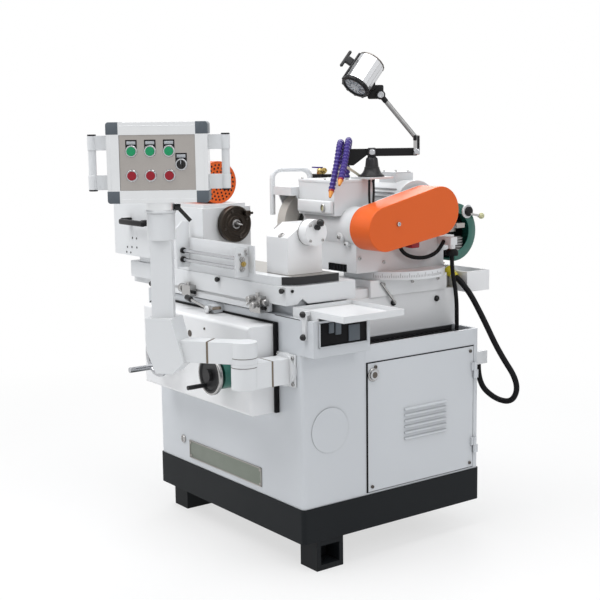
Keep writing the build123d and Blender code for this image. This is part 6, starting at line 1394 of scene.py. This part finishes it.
wheelheadPlan = {
    "sight": (196, 143.9, 1028), "sightStretch": 1.35,
    "sightRing": ((0, 7), (0, 10), (3, 10), (4.4, 8.6), (4.4, 7), (0, 7)),
    "sightGlass": ((0.2, 0), (0.2, 7), (1.6, 6.6), (2.4, 0)),
    "bosses": (((236, 186, 942), 15, 14), ((256, 200, 921), 9, 20)),       # foot, radius, length
    "bossEdge": (3, 2.5), "bossBolt": 0.4,
    "baseScrews": ((290.1, 206, 880), (290.1, 300, 862), (290.1, 460, 862)), "baseScrew": 5,
    "ledge": ((64, 144, 1012), (231, 157, 1050)), "ledgeEdge": 5,
    "lid": ((56.6, 154.6, 1102), (236.4, 307.4, 1111)), "lidEdge": 1.5,
    "lidScrews": ((66, 164, 1111), (226, 212, 1111), (66, 298, 1111), (180, 164, 1111)), "lidScrew": 4,
    "bellows": {"left": 160, "right": 244, "front": 189.4, "back": 193.8, "low": 836.6, "high": 858,
                "folds": 12, "fold": 1.6, "edge": 0.8},
    "guardScrew": (385.1, 275.5, 983.7), "guardScrewSize": 6.5,
    "redBit": ((290.2, 384, 899), (324, 416, 921)), "redBitEdge": 4,
}
motorPlan = {
    "middle": (0, 446, 1012.6), "fin": ((102, 86.5, -1.6), (256, 94, 1.6)), "finEdge": 0.9,
    "finAngles": [angle for angle in range(-36, 217, 9) if not 60 <= angle <= 126],
    "boxTop": ((143, 415, 1122.5), (215, 477, 1126)), "boxEdge": 1.5,
    "boxScrews": ((150, 422, 1126), (208, 422, 1126), (150, 470, 1126), (208, 470, 1126)), "boxScrew": 3.5,
}
pedestalPlan = {
    "scaleFoot": (210, 411, 816), "ticks": 45, "longTick": 5, "tickStep": 2, "tickStart": -64,
    "tick": ((157.8, -0.4, 0), (158.4, 0.4, 7)), "tallTick": ((157.8, -0.4, 0), (158.4, 0.4, 13)),
    "tickEdge": 0.1,
    "slideScrews": ((292.1, 413, 793), (292.1, 298, 793), (292.1, 520, 793)), "slideScrew": 5,
    "lever": ((297, 341, 732), (297, 284, 800)), "leverRadius": 3.4,
    "balls": ((286, 341, 732), (286, 521, 728)), "ballRadius": 9.5,
}
drumPlan = {
    "middle": (231.4, 597, 932.6), "halfSteps": 24,
    "liner": 84, "linerThick": 3,
    "rim": 91.6, "ring": 62, "faceThick": 4, "faceEdge": 0.8, "faceOut": 51.6,
    "hubRibs": 6, "ribPitch": 9, "hubFoot": (262, 626, 862), "hubRadius": 17,
    "rib": ((0, 17), (2, 22), (6, 22), (8, 17)),
    "bracket": ((252, 604, 944), (289, 640, 960)), "bracketEdge": 2,
    "bracketFoot": ((252, 604, 930), (258, 630, 960)), "bracketFootEdge": 1,
    "dial": (286, 648, 996), "dialDisc": ((0, 0), (0, 21), (1.5, 22), (6, 22), (7.5, 20.5), (7.5, 0)),
    "boss": ((7.5, 0), (7.5, 14), (9, 15), (15, 15), (17, 12), (17, 0)),
    "crank": ((300, 652, 988), (301, 692, 980)), "crankRadius": 4, "knob": (301, 700, 979), "knobRadius": 10,
}


def bellowsFolds(plan):
    step = (plan["right"] - plan["left"]) / plan["folds"]
    folds = []
    for fold in range(plan["folds"]):
        start = plan["left"] + fold * step
        front = plan["front"] + (fold % 2) * plan["fold"]
        folds.append(((start, front, plan["low"]), (start + step, plan["back"], plan["high"])))
    return blocks(folds, plan["edge"])


def dressWheelhead(plan):
    stretch = Matrix.Diagonal((1, 1, plan["sightStretch"], 1))
    place = shift(*plan["sight"]) @ stretch @ aimed(forward)
    settle(carry(turned(plan["sightRing"]), place), "sightRing", "wheelhead", "turned")
    settle(carry(turned(plan["sightGlass"]), place), "sightGlass", "wheelhead", "oilGlass")
    bosses = []
    bolts = screws(plan["baseScrews"], rightward, plan["baseScrew"])
    back, inward = plan["bossEdge"]
    for foot, radius, length in plan["bosses"]:
        profile = ((0, 0), (0, radius), (length - back, radius), (length, radius - inward), (length, 0))
        bosses.append(turned(profile, foot, forward))
        tip = Vector(foot) + Vector(forward) * length
        bolts.append(screw(tip, forward, radius * plan["bossBolt"]))
    bosses.append(block(*plan["ledge"], plan["ledgeEdge"], softSegments))
    bosses.append(block(*plan["lid"], plan["lidEdge"]))
    bolts += screws(plan["lidScrews"], upward, plan["lidScrew"])
    settle(bosses, "barrelBosses", "wheelhead", "whitePaint")
    settle(bolts, "headBolts", "wheelhead", "turned")
    settle(bellowsFolds(plan["bellows"]), "frontBellows", "wheelhead", "rubber")
    guardScrew = screw(plan["guardScrew"], rightward, plan["guardScrewSize"])
    settle(guardScrew, "guardScrew", "wheelhead", "chrome")
    terminal = block(*plan["redBit"], plan["redBitEdge"], softSegments)
    settle(terminal, "redTerminal", "wheelhead", "redCap")


def dressWheelMotor(plan):
    fins = []
    for angle in plan["finAngles"]:
        fin = block(*plan["fin"], plan["finEdge"])
        fins.append(carry(fin, shift(*plan["middle"]) @ rotated(angle, "X")))
    fins.append(block(*plan["boxTop"], plan["boxEdge"]))
    settle(fins, "motorFins", "wheelhead", "whitePaint")
    boxScrews = screws(plan["boxScrews"], upward, plan["boxScrew"])
    settle(boxScrews, "boxScrews", "wheelhead", "turned")


def dressPedestal(plan):
    ticks = []
    for number in range(plan["ticks"]):
        size = plan["tallTick"] if number % plan["longTick"] == 0 else plan["tick"]
        turn = rotated(plan["tickStart"] + number * plan["tickStep"], "Z")
        ticks.append(carry(block(*size, plan["tickEdge"], 1), shift(*plan["scaleFoot"]) @ turn))
    settle(ticks, "swivelScale", "wheelhead", "dark")
    slideScrews = screws(plan["slideScrews"], rightward, plan["slideScrew"])
    settle(slideScrews, "slideScrews", "cross_slide", "turned")
    settle(rod(*plan["lever"], plan["leverRadius"]), "pedestalLever", "root", "turned")
    balls = [ball(foot, plan["ballRadius"], rightward) for foot in plan["balls"]]
    settle(balls, "pedestalBalls", "root", "knob")


def dressDrum(plan):
    half = facing(plan["middle"], backward, upward)
    middle = (0, 0)
    liner = carry(sawn(arc(middle, plan["liner"], -90, 90, plan["halfSteps"]), plan["linerThick"]), half)
    settle(liner, "drumLiner", "wheelhead", "black")
    crescent = arc(middle, plan["rim"], -90, 90, plan["halfSteps"])
    crescent += arc(middle, plan["ring"], 90, -90, plan["halfSteps"])
    ring = carry(sawn(crescent, plan["faceThick"], plan["faceEdge"]), shift(plan["faceOut"], 0, 0) @ half)
    settle(ring, "drumFace", "wheelhead", "green")
    profile = [(0, 0)]
    for rib in range(plan["hubRibs"]):
        profile += [(rib * plan["ribPitch"] + along, radius) for along, radius in plan["rib"]]
    top = plan["hubRibs"] * plan["ribPitch"]
    profile += [(top, plan["hubRadius"]), (top, 0)]
    settle(turned(profile, plan["hubFoot"]), "ribbedHub", "wheelhead", "castGrey")
    bracket = [block(*plan["bracket"], plan["bracketEdge"])]
    bracket.append(block(*plan["bracketFoot"], plan["bracketFootEdge"]))
    settle(bracket, "drumBracket", "wheelhead", "stainless")
    disc = turned(plan["dialDisc"], plan["dial"], rightward)
    settle(disc, "drumDial", "wheelhead", "whitePaint")
    settle(turned(plan["boss"], plan["dial"], rightward), "dialBoss", "wheelhead", "black")
    settle(rod(*plan["crank"], plan["crankRadius"]), "dialCrank", "wheelhead", "turned")
    knob = ball(plan["knob"], plan["knobRadius"], backward)
    settle(knob, "dialKnob", "wheelhead", "paleKnob")


dressWheelhead(wheelheadPlan)
dressWheelMotor(motorPlan)
dressPedestal(pedestalPlan)
dressDrum(drumPlan)
print("wheelhead dressed")


# Tap and pendant

tapPlan = {
    "start": (264, 590, 812), "end": (296, 590, 795),
    "yellow": ((0, 13.4), (0, 15), (4, 16.4), (22, 14.4), (36, 12), (44, 10.4), (44, 9.2), (0, 13.4)),
    "body": (
        (-26, 10.2), (-26, 11.4), (-20, 11.4), (-18, 11), (-6, 11.6), (-4, 14.6), (2, 14.6), (2, 10.2),
        (-26, 10.2),
    ),
    "bodyFoot": (258, 590, 813),
    "stem": ((238, 590, 822), (238, 590, 832)), "stemRadius": 5,
    "handle": ((172, 585, 829), (246, 595, 833)), "handleEdge": 1.8,
}
pendantPlan = {
    "plate": ((283, -100, 545), (377, -94.3, 639)), "plateEdge": 2.5,
    "bolts": [(330 + x, -100, 592 + z) for x in (-38, 38) for z in (-38, 38)], "boltSize": 5.5,
    "lowerBand": ((299.3, -168, 555.3), (360.7, -162, 628.1)), "bandEdge": 0.6,
    "pivot": (330, -239, 0), "turn": 216.4,
    "upperBand": ((95, -28.7, 628.6), (101, 28.7, 689)),
    "ring": ((0, 36.5), (0, 37.5), (1.6, 37.5), (1.6, 36.5), (0, 36.5)),
    "lowRing": (330, -239, 618), "highRing": (330, -239, 644),
}
crossWheelPlan = {
    "foot": (168, -254, 569), "sides": 56,
    "rim": ((0, 52), (0, 57), (2, 58), (10, 58), (12, 57), (12, 52), (0, 52)),
}


def fitTap(plan):
    along = Vector(plan["end"]) - Vector(plan["start"])
    settle(turned(plan["yellow"], plan["start"], along), "tapNut", "root", "yellow")
    body = [turned(plan["body"], plan["bodyFoot"], rightward), rod(*plan["stem"], plan["stemRadius"])]
    settle(body, "tapBody", "root", "turned")
    settle(block(*plan["handle"], plan["handleEdge"]), "tapHandle", "root", "brick")


def dressPendant(plan):
    settle(block(*plan["plate"], plan["plateEdge"]), "pendantPlate", "root", "whitePaint")
    bolts = screws(plan["bolts"], forward, plan["boltSize"])
    settle(bolts, "plateBolts", "root", "turned")
    settle(block(*plan["lowerBand"], plan["bandEdge"]), "lowerBand", "root", "bronze")
    settle(turned(plan["ring"], plan["lowRing"]), "lowerSeam", "root", "dark")
    upper = carry(block(*plan["upperBand"], plan["bandEdge"]), frameAt(plan["pivot"], plan["turn"]))
    settle(upper, "upperBand", "pendant_arm", "bronze")
    settle(turned(plan["ring"], plan["highRing"]), "upperSeam", "pendant_arm", "dark")


def rimCrossWheel(plan):
    rim = turned(plan["rim"], plan["foot"], backward, plan["sides"])
    settle(rim, "crossWheelRim", "cross_feed_handwheel", "turned")


fitTap(tapPlan)
dressPendant(pendantPlan)
rimCrossWheel(crossWheelPlan)
print("tap and pendant dressed")


# Left end, back and upper faces

coverPlan = {
    "leftPlate": ((-403, 176, 236), (-399.8, 548, 584)), "backPlate": ((-340, 595.8, 236), (96, 599, 584)),
    "endPlate": ((-610.6, -104, 876), (-607.8, 78, 1018)), "plateEdge": 1.2,
    "margin": 14, "screwSize": 5,
    "louvre": 6.5, "louvreSteps": 6, "louvreLong": 120, "louvreEdge": 1.2, "louvrePitch": 20,
    "leftLouvres": {"rows": 7, "columns": (-84, 84), "low": 350},
    "backLouvres": {"rows": 8, "columns": (-96, 96), "low": 340},
    "endLouvres": {"rows": 4, "columns": (0,), "low": 916},
    "leftDisc": ((0, 0), (0, 66), (1.6, 66), (2.5, 65), (2.5, 0)), "discSides": 64,
    "discFoot": (-400, 3, 412),
    "topScrews": ((-264, 168, 757), (-264, 376, 757), (-264, 584, 757), (-110, 584, 757), (20, 584, 757)),
    "topScrewSize": 6,
    "plug": ((0, 0), (0, 15), (3, 15), (4, 14), (4, 9), (13, 9), (14, 8), (14, 0)), "plugSides": 6,
    "plugFoot": (-356, 596, 214),
}
upperPlan = {
    "motorFace": (84, 446, 1012.6), "rings": ((18, 6), (34, 12), (50, 18), (66, 24)),
    "vent": ((0, 0), (0, 4.4), (0.6, 4.1), (0.6, 0)),
    "guardScrews": ((-54, 300, 1000), (-54, 236, 1070), (-54, 310, 920)), "guardScrew": 6,
    "panelScrews": [(x, 44, z) for x in (-92, 92) for z in (-98, 98)], "panelScrew": 4,
}


def louvre(plan):
    # pressed hood, curved above and open below
    outline = arc((0, 0), plan["louvre"], 0, 90, plan["louvreSteps"]) + [(0, 0)]
    return sawn(outline, plan["louvreLong"], plan["louvreEdge"])


def ventedPlate(corners, out, across, rows, plan):
    # bolted sheet cover with rows of louvres: its painted pieces and its screws
    low, high = [Vector(corner) for corner in corners]
    half = (high - low) / 2
    face = (low + high) / 2 + Vector(out) * abs(half.dot(Vector(out)))
    sideways = Vector(across)
    wide = abs(half.dot(sideways)) - plan["margin"]
    tall = half.z - plan["margin"]
    rise = Vector((0, 0, tall))
    feet = [face + sideways * side * wide + rise * end for side in (-1, 0, 1) for end in (-1, 1)]
    fixings = screws(feet, out, plan["screwSize"])
    pieces = [block(low, high, plan["plateEdge"])]
    model = louvre(plan)
    for row in range(rows["rows"]):
        for column in rows["columns"]:
            start = face + sideways * (column - plan["louvreLong"] / 2)
            start.z = rows["low"] + row * plan["louvrePitch"]
            pieces.append(copyTo(model, facing(start, out, sideways.cross(Vector(out)))))
    bpy.data.objects.remove(model)
    return pieces, fixings


def dressCovers(plan):
    left, leftScrews = ventedPlate(plan["leftPlate"], leftward, forward, plan["leftLouvres"], plan)
    back, backScrews = ventedPlate(plan["backPlate"], backward, leftward, plan["backLouvres"], plan)
    disc = turned(plan["leftDisc"], plan["discFoot"], leftward, plan["discSides"])
    settle(left + back + [disc], "bedCovers", "root", "shadedWhitePaint")
    topScrews = screws(plan["topScrews"], upward, plan["topScrewSize"])
    settle(leftScrews + backScrews + topScrews, "coverScrews", "root", "turned")
    end, endScrews = ventedPlate(plan["endPlate"], leftward, forward, plan["endLouvres"], plan)
    settle(end, "workheadEndPlate", "swivel_table", "whitePaint")
    settle(endScrews, "endPlateScrews", "swivel_table", "turned")
    plug = turned(plan["plug"], plan["plugFoot"], backward, plan["plugSides"])
    settle(plug, "drainPlug", "root", "brass")


def dressUpperFaces(plan):
    vents = holeRings(plan["vent"], plan["motorFace"], plan["rings"], leftward)
    settle(vents, "motorVents", "wheelhead", "black")
    guardScrews = screws(plan["guardScrews"], leftward, plan["guardScrew"])
    settle(guardScrews, "guardScrews", "wheelhead", "turned")
    panelScrews = screws(plan["panelScrews"], backward, plan["panelScrew"])
    place = frameAt(panelPlan["column"], panelPlan["turn"])
    settle(carryAll(panelScrews, place), "panelBackScrews", "panel", "turned")


dressCovers(coverPlan)
dressUpperFaces(upperPlan)
print("back and left end dressed")
